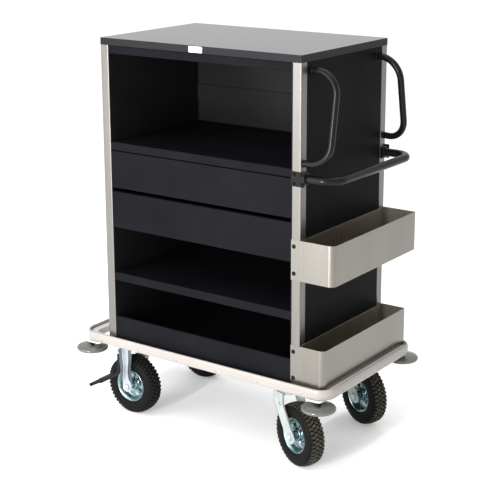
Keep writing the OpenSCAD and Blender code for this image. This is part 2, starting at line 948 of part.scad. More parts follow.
// A hollow air tyre with square tread shoulders, seated between the rim's flanges
module tyre() {
    mid_r = tyre_r - tyre_section_r;
    color("#1f1e1d")
        on_axle()
            rotate_extrude($fn = 96)
                difference() {
                    union() {
                        intersection() {
                            translate([mid_r, 0])
                                circle(tyre_section_r);
                            translate([bead_r, -tyre_section_r])
                                square([tyre_r, 2 * tyre_section_r]);
                        }
                        translate([bead_r, -bead_half_w])
                            square([mid_r - bead_r, 2 * bead_half_w]);
                        translate([tyre_r - 15, -bead_half_w])
                            square([14, 2 * bead_half_w]);
                    }
                    translate([mid_r, 0])
                        circle(tyre_section_r - tyre_wall);
                    translate([bead_r - cut, tyre_wall - bead_half_w])
                        square([mid_r - bead_r, 2 * (bead_half_w - tyre_wall)]);
                    for (s = [-1, 1])
                        translate([bead_r - cut, s * (bead_half_w + tyre_section_r) - tyre_section_r])
                            square([flange_h + cut + play, 2 * tyre_section_r]);
                }
}

// One pressed half of the rim, from the middle plane out to its flange
module rim_half() {
    well_r = bead_r - 6;
    seat_r = bead_r - rim_t;
    rotate_extrude($fn = 96)
        polygon([
            [hub_r, 0], [well_r, 0], [bead_r, 5], [bead_r, bead_half_w],
            [bead_r + flange_h, bead_half_w], [bead_r + flange_h, bead_half_w + rim_t],
            [seat_r, bead_half_w + rim_t], [seat_r, 5 + rim_t / 2],
            [well_r - rim_t / 2, rim_t], [hub_r, rim_t]
        ]);
}

// The wheel's metal: two rim halves, four lug nuts and the hub with its bearings
module rim() {
    color("#c5ced6")
        on_axle() {
            for (s = [0, 1])
                mirror([0, 0, s]) {
                    rim_half();
                    for (i = [0 : lug_count - 1])
                        rotate([0, 0, 45 + i * 360 / lug_count])
                            translate([lug_ring, 0, rim_t])
                                hex_head(13, 7);
                }
            difference() {
                cylinder(h = 2 * hub_half, r = hub_r, center = true);
                cylinder(h = 2 * hub_half + 2 * cut, r = axle_r + running_fit, center = true);
            }
        }
}

module front_left_tyre() { at_front_left() tyre(); }
module front_left_rim() { at_front_left() rim(); }
module rear_left_tyre() { at_rear_left() tyre(); }
module rear_left_rim() { at_rear_left() rim(); }
module front_right_tyre() { at_front_swivel() translate([trail, 0, 0]) tyre(); }
module front_right_rim() { at_front_swivel() translate([trail, 0, 0]) rim(); }
module rear_right_tyre() { at_rear_swivel() translate([trail, 0, 0]) tyre(); }
module rear_right_rim() { at_rear_swivel() translate([trail, 0, 0]) rim(); }

// ---------- brakes ----------

module brake_pin() {
    color("#b9bcc0")
        translate([pivot_x, 0, pivot_z])
            rotate([90, 0, 0]) {
                cylinder(h = 2 * (pedal_half + play), r = pin_r, center = true);
                for (s = [0, 1])
                    mirror([0, 0, s])
                        translate([0, 0, pedal_half + play])
                            cylinder(h = 2, r = pin_r + 2);
            }
}

module brake_pins() {
    at_front_left() brake_pin();
    at_rear_left() brake_pin();
}

// A flat bar in the XZ plane from one point to another
module flat_bar(a, b, w) {
    run = b - a;
    translate(a)
        rotate([0, 0, atan2(run[1], run[0])])
            translate([0, -w / 2])
                square([norm(run), w]);
}

// One arm: down from the pivot, then forwards to the pedal
module brake_arm() {
    pivot = [pivot_x, pivot_z];
    elbow = [elbow_x, elbow_z];
    pedal = [-pedal_reach, pedal_z];
    translate([0, arm_y + brake_t, 0])
        rotate([90, 0, 0])
            linear_extrude(brake_t)
                difference() {
                    union() {
                        flat_bar(pivot, elbow, brake_w);
                        flat_bar(elbow, pedal, brake_w);
                        for (p = [pivot, elbow, pedal])
                            translate(p)
                                circle(brake_w / 2);
                    }
                    translate(pivot)
                        circle(pin_r + running_fit);
                }
}

// The lever: two arms joined by the shoe and the pedal bar
module brake_lever() {
    color("#1c1c1e") {
        both_sides()
            brake_arm();
        translate([shoe_x, 0, shoe_z])
            cube([shoe_w, 2 * arm_y + brake_t, brake_w + 4], center = true);
        translate([-pedal_reach, 0, pedal_z])
            rotate([90, 0, 0])
                cylinder(h = 2 * arm_y + brake_t, r = brake_w / 2, center = true);
    }
}

module front_brake_lever() { at_front_left() brake_lever(); }
module rear_brake_lever() { at_rear_left() brake_lever(); }

// ---------- roller bumpers ----------

module roller_bolts() {
    color("#b9bcc0")
        at_corners(roller_x, roller_y) {
            translate([0, 0, roller_top - roller_t - 2])
                cylinder(h = pad_under + pad_t - roller_top + roller_t + 2, r = roller_bolt_r);
            translate([0, 0, roller_top - roller_t - 2 - bolt_head])
                hex_head(bolt_af + 1, bolt_head);
            translate([0, 0, roller_top + play])
                cylinder(h = pad_under - roller_top - play, r = roller_bolt_r + 4);
        }
}

// A domed disc with a rounded rim, free to turn on its bolt
module roller() {
    edge = roller_t / 2;
    color("#8f8d86")
        translate([0, 0, roller_top - roller_t])
            difference() {
                union() {
                    cylinder(h = roller_t, r = roller_hub_r);
                    translate([0, 0, 1])
                        cylinder(h = roller_t - 3, r = roller_r - edge);
                    translate([0, 0, edge - 1])
                        rotate_extrude()
                            translate([roller_r - edge + 1, 0])
                                circle(edge - 1);
                }
                translate([0, 0, -cut])
                    cylinder(h = roller_t + 2 * cut, r = roller_bolt_r + running_fit);
            }
}

module front_left_roller() { translate([-roller_x, -roller_y, 0]) roller(); }
module front_right_roller() { translate([roller_x, -roller_y, 0]) roller(); }
module rear_left_roller() { translate([-roller_x, roller_y, 0]) roller(); }
module rear_right_roller() { translate([roller_x, roller_y, 0]) roller(); }

// ---------- nodes ----------

base_frame();
vinyl_bumper();
bumper_screws();
base_deck();
front_left_post();
front_right_post();
rear_left_post();
rear_right_post();
left_outer_panel();
right_outer_panel();
left_inner_panel();
right_inner_panel();
back_outer_panel();
back_inner_strips();
top_slab();
front_header_rail();
upper_deck();
middle_shelf();
bottom_tray();
cabinet_screws();
label_plate();
front_lift_handle();
rear_lift_handle();
push_handle();
push_handle_clamps();
clamp_bolts();
upper_bin();
lower_bin();
cabinet_runners();
upper_drawer_front();
upper_drawer_tray();
upper_drawer_runners();
lower_drawer_front();
lower_drawer_tray();
lower_drawer_runners();
caster_bolts();
front_rigid_fork();
rear_rigid_fork();
rigid_axles();
swivel_top_plates();
front_swivel_fork();
rear_swivel_fork();
front_swivel_axle();
rear_swivel_axle();
front_left_tyre();
front_left_rim();
rear_left_tyre();
rear_left_rim();
front_right_tyre();
front_right_rim();
rear_right_tyre();
rear_right_rim();
brake_pins();
front_brake_lever();
rear_brake_lever();
roller_bolts();
front_left_roller();
front_right_roller();
rear_left_roller();
rear_right_roller();
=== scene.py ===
# %% [markdown]
# # A housekeeping cart, finished piece by piece
# The cart's frame is already designed: every part has its place, its size and its joints. This lesson
# loads that frame, gives each part its real finish, and swaps the plain shapes for pieces with the
# detail that the real ones have: tread on the tyres, pressed wheels, folded sheet, bent tubes and a soft
# vinyl bumper. All lengths are metres, and every piece is made where it belongs, so nothing is moved
# afterwards. X runs along the cart towards the push handle, the open front faces -Y, and Z is up from
# the floor.

import math

import bmesh
import bpy
import numpy as np
from mathutils import Matrix, Vector


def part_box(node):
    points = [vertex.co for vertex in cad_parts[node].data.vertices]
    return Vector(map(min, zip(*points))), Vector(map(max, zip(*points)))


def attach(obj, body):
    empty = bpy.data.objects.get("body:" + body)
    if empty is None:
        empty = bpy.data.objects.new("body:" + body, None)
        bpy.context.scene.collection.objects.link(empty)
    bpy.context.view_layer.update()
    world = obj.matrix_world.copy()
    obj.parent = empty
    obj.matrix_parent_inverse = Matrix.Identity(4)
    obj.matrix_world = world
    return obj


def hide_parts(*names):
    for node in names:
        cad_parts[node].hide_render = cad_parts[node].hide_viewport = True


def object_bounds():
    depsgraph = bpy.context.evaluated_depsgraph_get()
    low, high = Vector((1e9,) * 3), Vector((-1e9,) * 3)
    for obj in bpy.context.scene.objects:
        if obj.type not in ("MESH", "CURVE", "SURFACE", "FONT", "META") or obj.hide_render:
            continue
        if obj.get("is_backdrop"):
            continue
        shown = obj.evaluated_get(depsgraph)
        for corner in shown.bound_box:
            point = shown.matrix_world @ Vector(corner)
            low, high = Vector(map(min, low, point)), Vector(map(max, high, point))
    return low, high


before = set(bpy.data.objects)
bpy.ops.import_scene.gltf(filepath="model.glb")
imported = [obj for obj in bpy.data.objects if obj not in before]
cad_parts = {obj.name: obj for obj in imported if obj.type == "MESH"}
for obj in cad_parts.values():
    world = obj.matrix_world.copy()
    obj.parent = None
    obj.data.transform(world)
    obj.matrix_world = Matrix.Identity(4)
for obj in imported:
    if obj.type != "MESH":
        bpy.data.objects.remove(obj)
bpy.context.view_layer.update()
MM = 0.001

# %% [markdown]
# ## Shapes as arrays
# Most of the cart is sheet, tube and turned parts, so a few helpers cover it. Each one works out all of
# its points at once with numpy and returns points and faces. Every surface starts as a grid, with a face
# between each pair of its rows and columns. Pieces that are the same on two sides of the cart are made
# once, then moved, mirrored or turned as points, so that every finished object stays at zero with its
# place in its mesh.

# %% Grids, and moving a part about
def grid_faces(rows, columns, wrap_rows=False, wrap_columns=False):
    """Quads between neighbours of a rows by columns grid; a wrapped side joins its last line to its
    first."""
    i = np.arange(rows if wrap_rows else rows - 1)
    j = np.arange(columns if wrap_columns else columns - 1)
    i, j = (a.ravel() for a in np.meshgrid(i, j, indexing="ij"))
    down, across = (i + 1) % rows, (j + 1) % columns
    quads = np.stack([i * columns + j, i * columns + across, down * columns + across, down * columns + j], 1)
    return quads.tolist()


def join(*parts):
    """Several (points, faces) pairs as one: each part's face numbers move up by the points before it."""
    points, faces, start = [], [], 0
    for p, f in parts:
        points.append(np.asarray(p, float))
        faces.extend([[start + k for k in face] for face in f])
        start += len(p)
    return np.concatenate(points), faces


def flip(part):
    """The same surface with its faces turned to point the other way."""
    points, faces = part
    return points, [face[::-1] for face in faces]


def mirror(part, axis):
    """The part reflected through zero along one axis, with its faces turned back outwards."""
    points, faces = part
    reflected = points.copy()
    reflected[:, axis] *= -1
    return flip((reflected, faces))


def moved(part, shift):
    """The part with the same shift added to every point."""
    points, faces = part
    return points + np.asarray(shift, float), faces


def turned(part, degrees, centre=(0, 0)):
    """The part turned about a vertical line through a centre: x' = x cos - y sin, y' = x sin + y cos."""
    points, faces = part
    c, s = math.cos(math.radians(degrees)), math.sin(math.radians(degrees))
    x, y = points[:, 0] - centre[0], points[:, 1] - centre[1]
    return np.stack([c * x - s * y + centre[0], s * x + c * y + centre[1], points[:, 2]], 1), faces


def pointing(part, direction):
    """A part that stands up Z, laid to point along -Y, +Y, -X or +X."""
    points, faces = part
    x, y, z = points.T
    return {"-y": (np.stack([x, -z, y], 1), faces), "+y": (np.stack([-x, z, y], 1), faces),
            "+x": (np.stack([z, x, y], 1), faces), "-x": (np.stack([-z, -x, y], 1), faces)}[direction]


print("a 3 by 4 grid has", len(grid_faces(3, 4)), "faces")

# %% [markdown]
# Most outlines on the cart are arcs and straight runs, because that is what a bending machine and a
# lathe leave. A rubber or pressed shape is a free curve instead, so it is drawn through a few points and
# smoothed.

# %% Arcs, curves and outlines
def arc(centre, radius, start, end, steps):
    """Points on a circle between two angles in degrees."""
    a = np.radians(np.linspace(start, end, steps + 1))
    return np.stack([centre[0] + radius * np.cos(a), centre[1] + radius * np.sin(a)], 1)


def smooth_through(points, steps):
    """A curve through points: between neighbours it is the cubic whose slopes follow the chords beside."""
    p = np.asarray(points, float)
    padded = np.concatenate([2 * p[:1] - p[1:2], p, 2 * p[-1:] - p[-2:-1]])
    t = np.linspace(0, 1, steps, endpoint=False)[None, :, None]
    a, b, c, d = (padded[k:len(padded) - 3 + k, None, :] for k in range(4))
    curve = 0.5 * (2 * b + (c - a) * t + (2 * a - 5 * b + 4 * c - d) * t**2 + (3 * b - a - 3 * c + d) * t**3)
    return np.concatenate([curve.reshape(-1, p.shape[1]), p[-1:]])


def circle(radius, steps=24):
    """Points at equal angles round zero."""
    a = np.linspace(0, 2 * math.pi, steps, endpoint=False)
    return np.stack([radius * np.cos(a), radius * np.sin(a)], 1)


def loop(half_x, half_y, radius, steps=14):
    """The outline of a rounded rectangle: four quarter arcs, whose ends join by straight runs."""
    corners = ((1, 1, 0), (-1, 1, 90), (-1, -1, 180), (1, -1, 270))
    return np.concatenate([arc((sx * (half_x - radius), sy * (half_y - radius)), radius, a, a + 90, steps)
                           for sx, sy, a in corners])


def round_square(width, height, radius, steps=4):
    """A rectangle's outline with quarter-circle corners."""
    return loop(width / 2, height / 2, radius, steps)


def at_height(flat, z):
    """Points in the plane, all lifted to one height."""
    return np.column_stack([flat, np.full(len(flat), z)])


print("a rounded outline has", len(round_square(2, 1, 0.1)), "points")

# %% [markdown]
# A bent tube is a profile carried along a path, a wheel or a washer is a profile turned about a line,
# and a plate is an outline pushed to a thickness. Blender's own curve bevels could do the first, but
# here the mesh is worked out directly, so its corners are mitred and its ends closed in one way
# everywhere.

# %% Sweeps, lathes and plates
def capped(rings, n):
    """Faces between rings of n points each, closed by a flat face over the first ring and the last."""
    last = list(range((rings - 1) * n, rings * n))
    return grid_faces(rings, n, False, True) + [list(range(n))[::-1], last]


def sweep(profile, path, up=(0, 0, 1), closed=False):
    """A profile carried along a path. At each point the profile's first axis is the path's direction crossed
    with up, and its second is that side crossed with the direction."""
    path = np.asarray(path, float)
    ahead = np.roll(path, -1, 0) - path
    behind = path - np.roll(path, 1, 0)
    if not closed:
        ahead[-1], behind[0] = behind[-1], ahead[0]
    unit = lambda v: v / np.linalg.norm(v, axis=1, keepdims=True)
    along = unit(unit(ahead) + unit(behind))
    side = unit(np.cross(along, np.asarray(up, float)))
    rise = np.cross(side, along)
    stretch = 1 / np.sum(along * unit(ahead), 1)
    points = (path[:, None] + profile[None, :, :1] * (side * stretch[:, None])[:, None]
              + profile[None, :, 1:] * rise[:, None])
    n, k = len(path), len(profile)
    return points.reshape(-1, 3), grid_faces(n, k, True, True) if closed else capped(n, k)


def lathe(profile, steps=64):
    """A closed profile of (radius, height) points turned about the Z axis."""
    a = np.linspace(0, 2 * math.pi, steps, endpoint=False)[:, None]
    r, z = profile[None, :, 0], profile[None, :, 1]
    points = np.stack([r * np.cos(a), r * np.sin(a), z + 0 * a], 2)
    return points.reshape(-1, 3), grid_faces(steps, len(profile), True, True)


def prism(outline, low, high):
    """A flat outline, anticlockwise, pushed up from one height to another."""
    return np.concatenate([at_height(outline, z) for z in (low, high)]), capped(2, len(outline))


def block(low, high):
    """A box between two corners, for sheet and plate whose edges a bevel rounds later."""
    (x0, y0, z0), (x1, y1, z1) = low, high
    return prism(np.array([[x0, y0], [x1, y0], [x1, y1], [x0, y1]]), z0, z1)


def rounded_plate(half_x, half_y, radius, low, high):
    """A flat plate with round corners."""
    return prism(loop(half_x, half_y, radius, 6), low, high)


def turned_y(profile, steps=32):
    """A closed (radius, distance) profile in millimetres turned about the Y axis, out along -Y."""
    return pointing(lathe(np.asarray(profile) * MM, steps), "-y")


print("a washer has", len(turned_y([(5, 0), (9, 0), (9, 2), (5, 2)])[1]), "faces")

# %% [markdown]
# ## One way to put a piece on the cart
# A finished piece needs a mesh, a finish, a body to ride on, and often a plain part to stand in for.
# Doing that in one place keeps every piece alike: its faces point outwards, its smooth and sharp edges
# are set by angle, and sheet parts get a narrow bevel, because a real folded or cut edge always catches
# a line of light.

# %% Build one piece
def piece(name, part, finish, body, stands_for=(), bevel=0.0, segments=2, sharp=35):
    """Makes the mesh, gives it its finish, and fixes it to a body."""
    points, faces = part
    mesh = bpy.data.meshes.new(name)
    mesh.from_pydata(np.asarray(points, float).tolist(), [], faces)
    shell = bmesh.new()
    shell.from_mesh(mesh)
    bmesh.ops.recalc_face_normals(shell, faces=shell.faces)
    shell.to_mesh(mesh)
    shell.free()
    mesh.shade_smooth()
    mesh.set_sharp_from_angle(angle=math.radians(sharp))
    made = bpy.data.objects.new(name, mesh)
    bpy.context.scene.collection.objects.link(made)
    mesh.materials.append(finish)
    if bevel:
        rounding = made.modifiers.new("rounded edges", "BEVEL")
        rounding.width = bevel
        rounding.segments = segments
        rounding.limit_method = "ANGLE"
        rounding.angle_limit = math.radians(40)
        rounding.use_clamp_overlap = True
    made.modifiers.new("even shading", "WEIGHTED_NORMAL").keep_sharp = True
    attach(made, body)
    if stands_for:
        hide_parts(*stands_for)
    return made


print("piece maker ready")

# %% [markdown]
# ## Finishes
# A finish is never one flat colour. Powder coat has a fine pebble and faint clouds, brushed steel has
# long streaks along the sheet, zinc has a bluish bloom, rubber carries dust. Each finish here starts
# from the same few nodes: noise at a chosen scale and stretch, which shifts the colour and the roughness
# and lifts a bump.

# %% Noise that drives colour, roughness and bump
def new_finish(name, colour, metallic=0.0, roughness=0.5):
    """A new material with its plain numbers set on the shader, and its nodes and links to build on."""
    finish = bpy.data.materials.new(name)
    finish.use_nodes = True
    shader = finish.node_tree.nodes["Principled BSDF"]
    shader.inputs["Base Color"].default_value = (*colour, 1)
    shader.inputs["Metallic"].default_value = metallic
    shader.inputs["Roughness"].default_value = roughness
    return finish, finish.node_tree.nodes, finish.node_tree.links, shader


def noise(nodes, links, scale, stretch=(1, 1, 1), detail=4.0):
    """Noise on the piece's own coordinates; a small stretch number draws the pattern out along that axis."""
    where = nodes.new("ShaderNodeTexCoord")
    mapping = nodes.new("ShaderNodeMapping")
    mapping.inputs["Scale"].default_value = stretch
    texture = nodes.new("ShaderNodeTexNoise")
    texture.inputs["Scale"].default_value = scale
    texture.inputs["Detail"].default_value = detail
    links.new(where.outputs["Object"], mapping.inputs["Vector"])
    links.new(mapping.outputs["Vector"], texture.inputs["Vector"])
    return texture.outputs["Fac"]


def between(nodes, links, value, low, high, start=0.3, end=0.7):
    """Maps a noise value from a start-end range to a low-high range."""
    spread = nodes.new("ShaderNodeMapRange")
    for socket, number in (("From Min", start), ("From Max", end), ("To Min", low), ("To Max", high)):
        spread.inputs[socket].default_value = number
    links.new(value, spread.inputs["Value"])
    return spread.outputs["Result"]


def two_colours(nodes, links, value, first, second, start=0.3, end=0.7):
    """A ramp from one colour to another as the value rises."""
    ramp = nodes.new("ShaderNodeValToRGB")
    ramp.color_ramp.elements[0].position = start
    ramp.color_ramp.elements[0].color = (*first, 1)
    ramp.color_ramp.elements[1].position = end
    ramp.color_ramp.elements[1].color = (*second, 1)
    links.new(value, ramp.inputs["Fac"])
    return ramp.outputs["Color"]


def combine(nodes, links, operation, *terms):
    """A maths node; each term is a plain number or another node's output."""
    made = nodes.new("ShaderNodeMath")
    made.operation = operation
    for socket, term in zip(made.inputs, terms):
        if isinstance(term, float):
            socket.default_value = term
        else:
            links.new(term, socket)
    return made.outputs[0]


def bump(nodes, links, shader, height, strength, distance):
    """Lets a height pattern tilt the surface's shading."""
    lift = nodes.new("ShaderNodeBump")
    lift.inputs["Strength"].default_value = strength
    lift.inputs["Distance"].default_value = distance
    links.new(height, lift.inputs["Height"])
    links.new(lift.outputs["Normal"], shader.inputs["Normal"])


print("finish nodes ready")

# %% [markdown]
# Two kinds of finish cover nearly everything. Paint, zinc and rubber are a fine grain over slow clouds.
# Brushed steel is the mark of a belt, so its noise is drawn out along the way that the belt ran.

# %% Grained and brushed finishes
def grained(name, dark, light, metallic, rough, scale, stretch=(1, 1, 1), strength=0.2, distance=0.0002,
            cloud=6.0, gloss=0.5):
    """Slow clouds shift the colour, and a fine grain shifts the roughness and lifts a bump."""
    finish, nodes, links, shader = new_finish(name, light, metallic, rough[1])
    shader.inputs["Specular IOR Level"].default_value = gloss
    clouds = noise(nodes, links, cloud)
    grain = noise(nodes, links, scale, stretch)
    links.new(two_colours(nodes, links, clouds, dark, light), shader.inputs["Base Color"])
    links.new(between(nodes, links, grain, *rough), shader.inputs["Roughness"])
    bump(nodes, links, shader, grain, strength, distance)
    return finish


def brushed(name, dark, light, rough, along, tint=9.0):
    """Noise drawn out nearly a hundredfold along one axis gives streaks in colour, gloss and height."""
    finish, nodes, links, shader = new_finish(name, light, 1.0, rough[1])
    stretch = [1.0, 1.0, 1.0]
    stretch[along] = 0.012
    streaks = noise(nodes, links, 900.0, stretch, 3.0)
    bands = noise(nodes, links, tint, [0.15 if k == along else 1.0 for k in range(3)], 2.0)
    mixed = combine(nodes, links, "MULTIPLY_ADD", streaks, 0.45, between(nodes, links, bands, 0.1, 0.45))
    links.new(two_colours(nodes, links, mixed, dark, light), shader.inputs["Base Color"])
    links.new(between(nodes, links, streaks, *rough), shader.inputs["Roughness"])
    bump(nodes, links, shader, streaks, 0.12, 0.00008)
    return finish


print("finish makers ready")

# %% [markdown]
# The cabinet is powder coated: a matt black that scatters light from a fine pebble. The coat on the end
# panels is a little flatter, and a little darker as painted shade, since those panels face away from the
# front lamps; the inside skins are a little lighter, as painted light for the dim bays. The slab, the
# screws and the handles are black too, but each shines in its own way, which is what tells them apart.

# %% The black finishes
FINE_PEBBLE = {"strength": 0.25, "distance": 0.0001, "gloss": 0.04}
powder = grained("black_powder_coat", (0.0045, 0.0047, 0.0062), (0.007, 0.0072, 0.0094), 0.0, (0.40, 0.54),
                 1400.0, **FINE_PEBBLE)
# A flatter copy of the powder coat whose darker colour is painted shade on the end and back panels, which
# face away from the front lamps.
end_coat_painted_shade = grained("black_powder_coat_ends_painted_shade", (0.0035, 0.004, 0.004), (0.006, 0.0065, 0.0065), 0.0,
                   (0.45, 0.6), 1400.0, **FINE_PEBBLE)
# A lighter copy of the powder coat for the inside skins, deck and trays: painted light that stands in for
# the light reaching into the bays.
inside_coat_painted_light = grained("black_powder_coat_inside_painted_light", (0.0075, 0.0077, 0.0078), (0.0118, 0.012, 0.0124), 0.0,
                 (0.4, 0.55), 1400.0, strength=0.2, distance=0.0001, gloss=0.12)
handle_black = grained("handle_black", (0.004, 0.004, 0.0045), (0.007, 0.007, 0.0075), 0.0, (0.22, 0.28),
                       900.0, strength=0.03, distance=0.0001, gloss=0.17)
screw_black = grained("black_screws", (0.004, 0.004, 0.005), (0.008, 0.008, 0.009), 0.0, (0.3, 0.4), 900.0,
                      gloss=0.1)
print("black finishes:", len(bpy.data.materials))

# %% [markdown]
# Posts and bins are brushed stainless steel, and their streaks run upright. The casters are zinc plated:
# bright on the fixed forks, duller on the swivel forks, and bluish on the rims. The base tube is painted
# a light grey, the vinyl is cream, and the rollers are a smooth grey rubber.

# %% Metal, vinyl and rubber finishes
UPRIGHT, ACROSS = 2, 0
post_steel = brushed("brushed_post_steel", (0.188, 0.177, 0.165), (0.225, 0.214, 0.201), (0.32, 0.42),
                     UPRIGHT)
bin_steel = brushed("brushed_bin_steel", (0.228, 0.214, 0.195), (0.252, 0.239, 0.217), (0.26, 0.30), UPRIGHT)
# A much lighter copy of the bin steel for the faces that look inwards: painted light that makes up for their
# dark reflections.
bin_inside_painted_light = brushed("brushed_bin_inside", (0.42, 0.39, 0.335), (0.52, 0.485, 0.42), (0.26, 0.36), UPRIGHT)
label_metal = brushed("blank_label", (0.72, 0.72, 0.72), (0.86, 0.86, 0.87), (0.25, 0.38), ACROSS)
tube_steel = grained("painted_base_metal", (0.66, 0.655, 0.64), (0.74, 0.735, 0.72), 0.1, (0.32, 0.46),
                     500.0)
screw_grey = grained("grey_screws", (0.16, 0.16, 0.165), (0.24, 0.24, 0.245), 0.7, (0.35, 0.5), 900.0)
zinc = grained("fork_zinc", (0.36, 0.40, 0.43), (0.46, 0.50, 0.54), 0.55, (0.30, 0.42), 260.0,
               strength=0.08, cloud=22.0)
dull_zinc = grained("swivel_zinc", (0.30, 0.335, 0.33), (0.37, 0.405, 0.40), 0.25, (0.46, 0.6), 260.0,
                    strength=0.1, cloud=22.0, gloss=0.3)
rim_zinc = grained("rim_zinc", (0.11, 0.22, 0.24), (0.37, 0.43, 0.45), 1.0, (0.20, 0.30), 200.0,
                   strength=0.05, cloud=30.0)
vinyl = grained("cream_vinyl", (0.305, 0.277, 0.259), (0.342, 0.312, 0.292), 0.0, (0.22, 0.32), 380.0,
                strength=0.12, cloud=3.0)
bumper_grey = grained("grey_bumper_rubber", (0.085, 0.083, 0.075), (0.115, 0.112, 0.101), 0.0, (0.14, 0.20),
                      420.0, strength=0.06, cloud=14.0, gloss=0.7)
print("finishes:", len(bpy.data.materials))

# %% [markdown]
# The slab is one board with two finishes: a hard laminate on its faces that shines when seen at a low
# angle, and a dull band round its edges. The face's own direction, up or sideways, chooses between them.

# %% Laminate on the faces, edge band round the sides
LAMINATE_DARK, LAMINATE_LIGHT = (0.012, 0.0125, 0.014), (0.016, 0.0165, 0.019)


def laminate_finish():
    """Gloss rises and roughness falls as the face turns from sideways to up."""
    finish, nodes, links, shader = new_finish("black_laminate", LAMINATE_DARK)
    facing = nodes.new("ShaderNodeNewGeometry")
    parts = nodes.new("ShaderNodeSeparateXYZ")
    links.new(facing.outputs["Normal"], parts.inputs[0])
    upward = between(nodes, links, parts.outputs["Z"], 0.0, 1.0, 0.6, 0.95)
    links.new(between(nodes, links, upward, 0.10, 0.60, 0.0, 1.0), shader.inputs["Specular IOR Level"])
    grain = noise(nodes, links, 700.0)
    clouds = noise(nodes, links, 5.0)
    links.new(two_colours(nodes, links, clouds, LAMINATE_DARK, LAMINATE_LIGHT), shader.inputs["Base Color"])
    polish = between(nodes, links, upward, 0.34, 0.13, 0.0, 1.0)
    links.new(combine(nodes, links, "MULTIPLY_ADD", grain, 0.05, polish), shader.inputs["Roughness"])
    bump(nodes, links, shader, grain, 0.05, 0.0001)
    return finish


laminate = laminate_finish()
print("laminate ready")

# %% [markdown]
# Rubber is the same black all over until it rolls. The tread's block tops pick up dust and scuffs while
# the grooves and the side walls stay dark, so the tyre's mesh carries a number, worn, that is highest on
# a block's top and 0 elsewhere, and the finish mixes dust in by it.

# %% Tyre rubber with dust on the blocks
RUBBER = (0.0045, 0.0045, 0.0042)


def tyre_finish(name, dust):
    """Black rubber that takes the dust's colour where the worn number is high and a noise agrees."""
    finish, nodes, links, shader = new_finish(name, RUBBER, 0.0, 0.6)
    shader.inputs["Specular IOR Level"].default_value = 0.08
    worn = nodes.new("ShaderNodeAttribute")
    worn.attribute_name = "worn"
    patches = between(nodes, links, noise(nodes, links, 90.0), 0.25, 1.0)
    cover = combine(nodes, links, "MULTIPLY", worn.outputs["Fac"], patches)
    links.new(two_colours(nodes, links, cover, RUBBER, dust, 0.0, 1.0), shader.inputs["Base Color"])
    grain = noise(nodes, links, 600.0)
    links.new(between(nodes, links, grain, 0.5, 0.72), shader.inputs["Roughness"])
    bump(nodes, links, shader, grain, 0.25, 0.0002)
    return finish


dusty_rubber = tyre_finish("dusty_tyre_rubber", (0.085, 0.078, 0.056))
clean_rubber = tyre_finish("tyre_rubber", (0.020, 0.020, 0.019))
print("tyre finishes ready")

# %% [markdown]
# ## The parts that keep their shape
# The panels, the drawers' trays and runners, and the small bolts and pins already have the right shape,
# so they stay and only take their finish. The material goes into the slots that each of them already
# has.

# %% Finish the parts that stay
KEPT = {
    end_coat_painted_shade: ["left_outer_panel", "right_outer_panel", "back_outer_panel"],
    inside_coat_painted_light: ["base_deck", "left_inner_panel", "right_inner_panel", "back_inner_strips",
             "upper_drawer_tray", "lower_drawer_tray"],
    zinc: ["cabinet_runners", "upper_drawer_runners", "lower_drawer_runners", "caster_bolts",
           "brake_pins"],
    screw_black: ["clamp_bolts", "roller_bolts"],
}
for finish, names in KEPT.items():
    for name in names:
        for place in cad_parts[name].material_slots:
            place.material = finish
print("kept parts:", sum(len(names) for names in KEPT.values()))

# %% [markdown]
# ## Sizes that the pieces share
# Each new piece takes its place from the boxes of the parts that it stands for. A few sizes are inside a
# part, such as the rake of a caster's leg, so they are written down once here, as on the cart's drawing.

# %% Places and sizes
base_low, base_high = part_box("vinyl_bumper")
slab_low, slab_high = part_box("top_slab")
post_low, post_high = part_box("front_left_post")
MIDDLE_X = (slab_low.x + slab_high.x) / 2
HALF_D = -post_low.y
POST = post_high.x - post_low.x
HALF_L = MIDDLE_X - post_low.x
tyre_low, tyre_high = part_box("front_left_tyre")
swivel_low, swivel_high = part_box("swivel_top_plates")
AXLE_Z = (tyre_low.z + tyre_high.z) / 2
PLATE_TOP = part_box("front_rigid_fork")[1].z
CASTER_LEFT = (tyre_low.x + tyre_high.x) / 2
CASTER_RIGHT = (swivel_low.x + swivel_high.x) / 2
CASTER_Y = 198 * MM
TRAIL = 60 * MM
SHEET = 1.5 * MM
HALF_SHEET = SHEET / 2
TURNED = {"front": -21.0, "rear": -23.0}
SIDES = {"front": -1, "rear": 1}
CORNERS = [(f"{side}_{end}", way, sign) for side, sign in SIDES.items()
           for end, way in (("left", -1), ("right", 1))]
print("cabinet", round(2 * HALF_L, 3), "by", round(2 * HALF_D, 3), "axles at", round(AXLE_Z, 4))

# %% [markdown]
# ## Air tyres
# The tyre is a moulded tube of rubber with square blocks in four staggered rows. Modelling each block by
# hand would take hundreds of copies. Instead one closed section is turned round the axle, and each point
# moves outwards where a block covers it: a block is the product of two soft steps, one along the tread's
# arc and one round the wheel, so every tyre is a single closed surface.

# %% The tyre's section and its blocks
BLOCKS = 44
BLOCK_SAMPLES = 11
TREAD_DEPTH = 4.8
MID_WALL = 72
BLOCK_ROWS = ((1.4, 9.0, 0.0, 0.022), (12.6, 22.0, 0.5, 0.006))
MOULD_LINES = ((0.5, 68, 1.0), (0.7, 61, 1.2))
SHOULDER = 16


def soft_step(value):
    """Rises from 0 to 1 as the value does: 3v^2 - 2v^3, flat outside."""
    v = np.clip(value, 0, 1)
    return v * v * (3 - 2 * v)


def pulse(value, low, high, edge):
    """1 between low and high, falling to 0 over an edge outside them."""
    return soft_step((value - low) / edge + 1) * soft_step((high - value) / edge + 1)


def tyre_section():
    """Half of the carcass from crown to bead as a smooth curve in (side, radius), then its mirror image."""
    half = smooth_through([(0, 96.9), (11, 96.3), (19.6, 94.0), (26, 89.0), (29.4, 81), (30, 72.5),
                           (28.6, 64), (25.2, 58.6), (21.8, 55.5), (21.3, 51)], 7)
    return np.concatenate([half[::-1], (half * [-1, 1])[1:]])


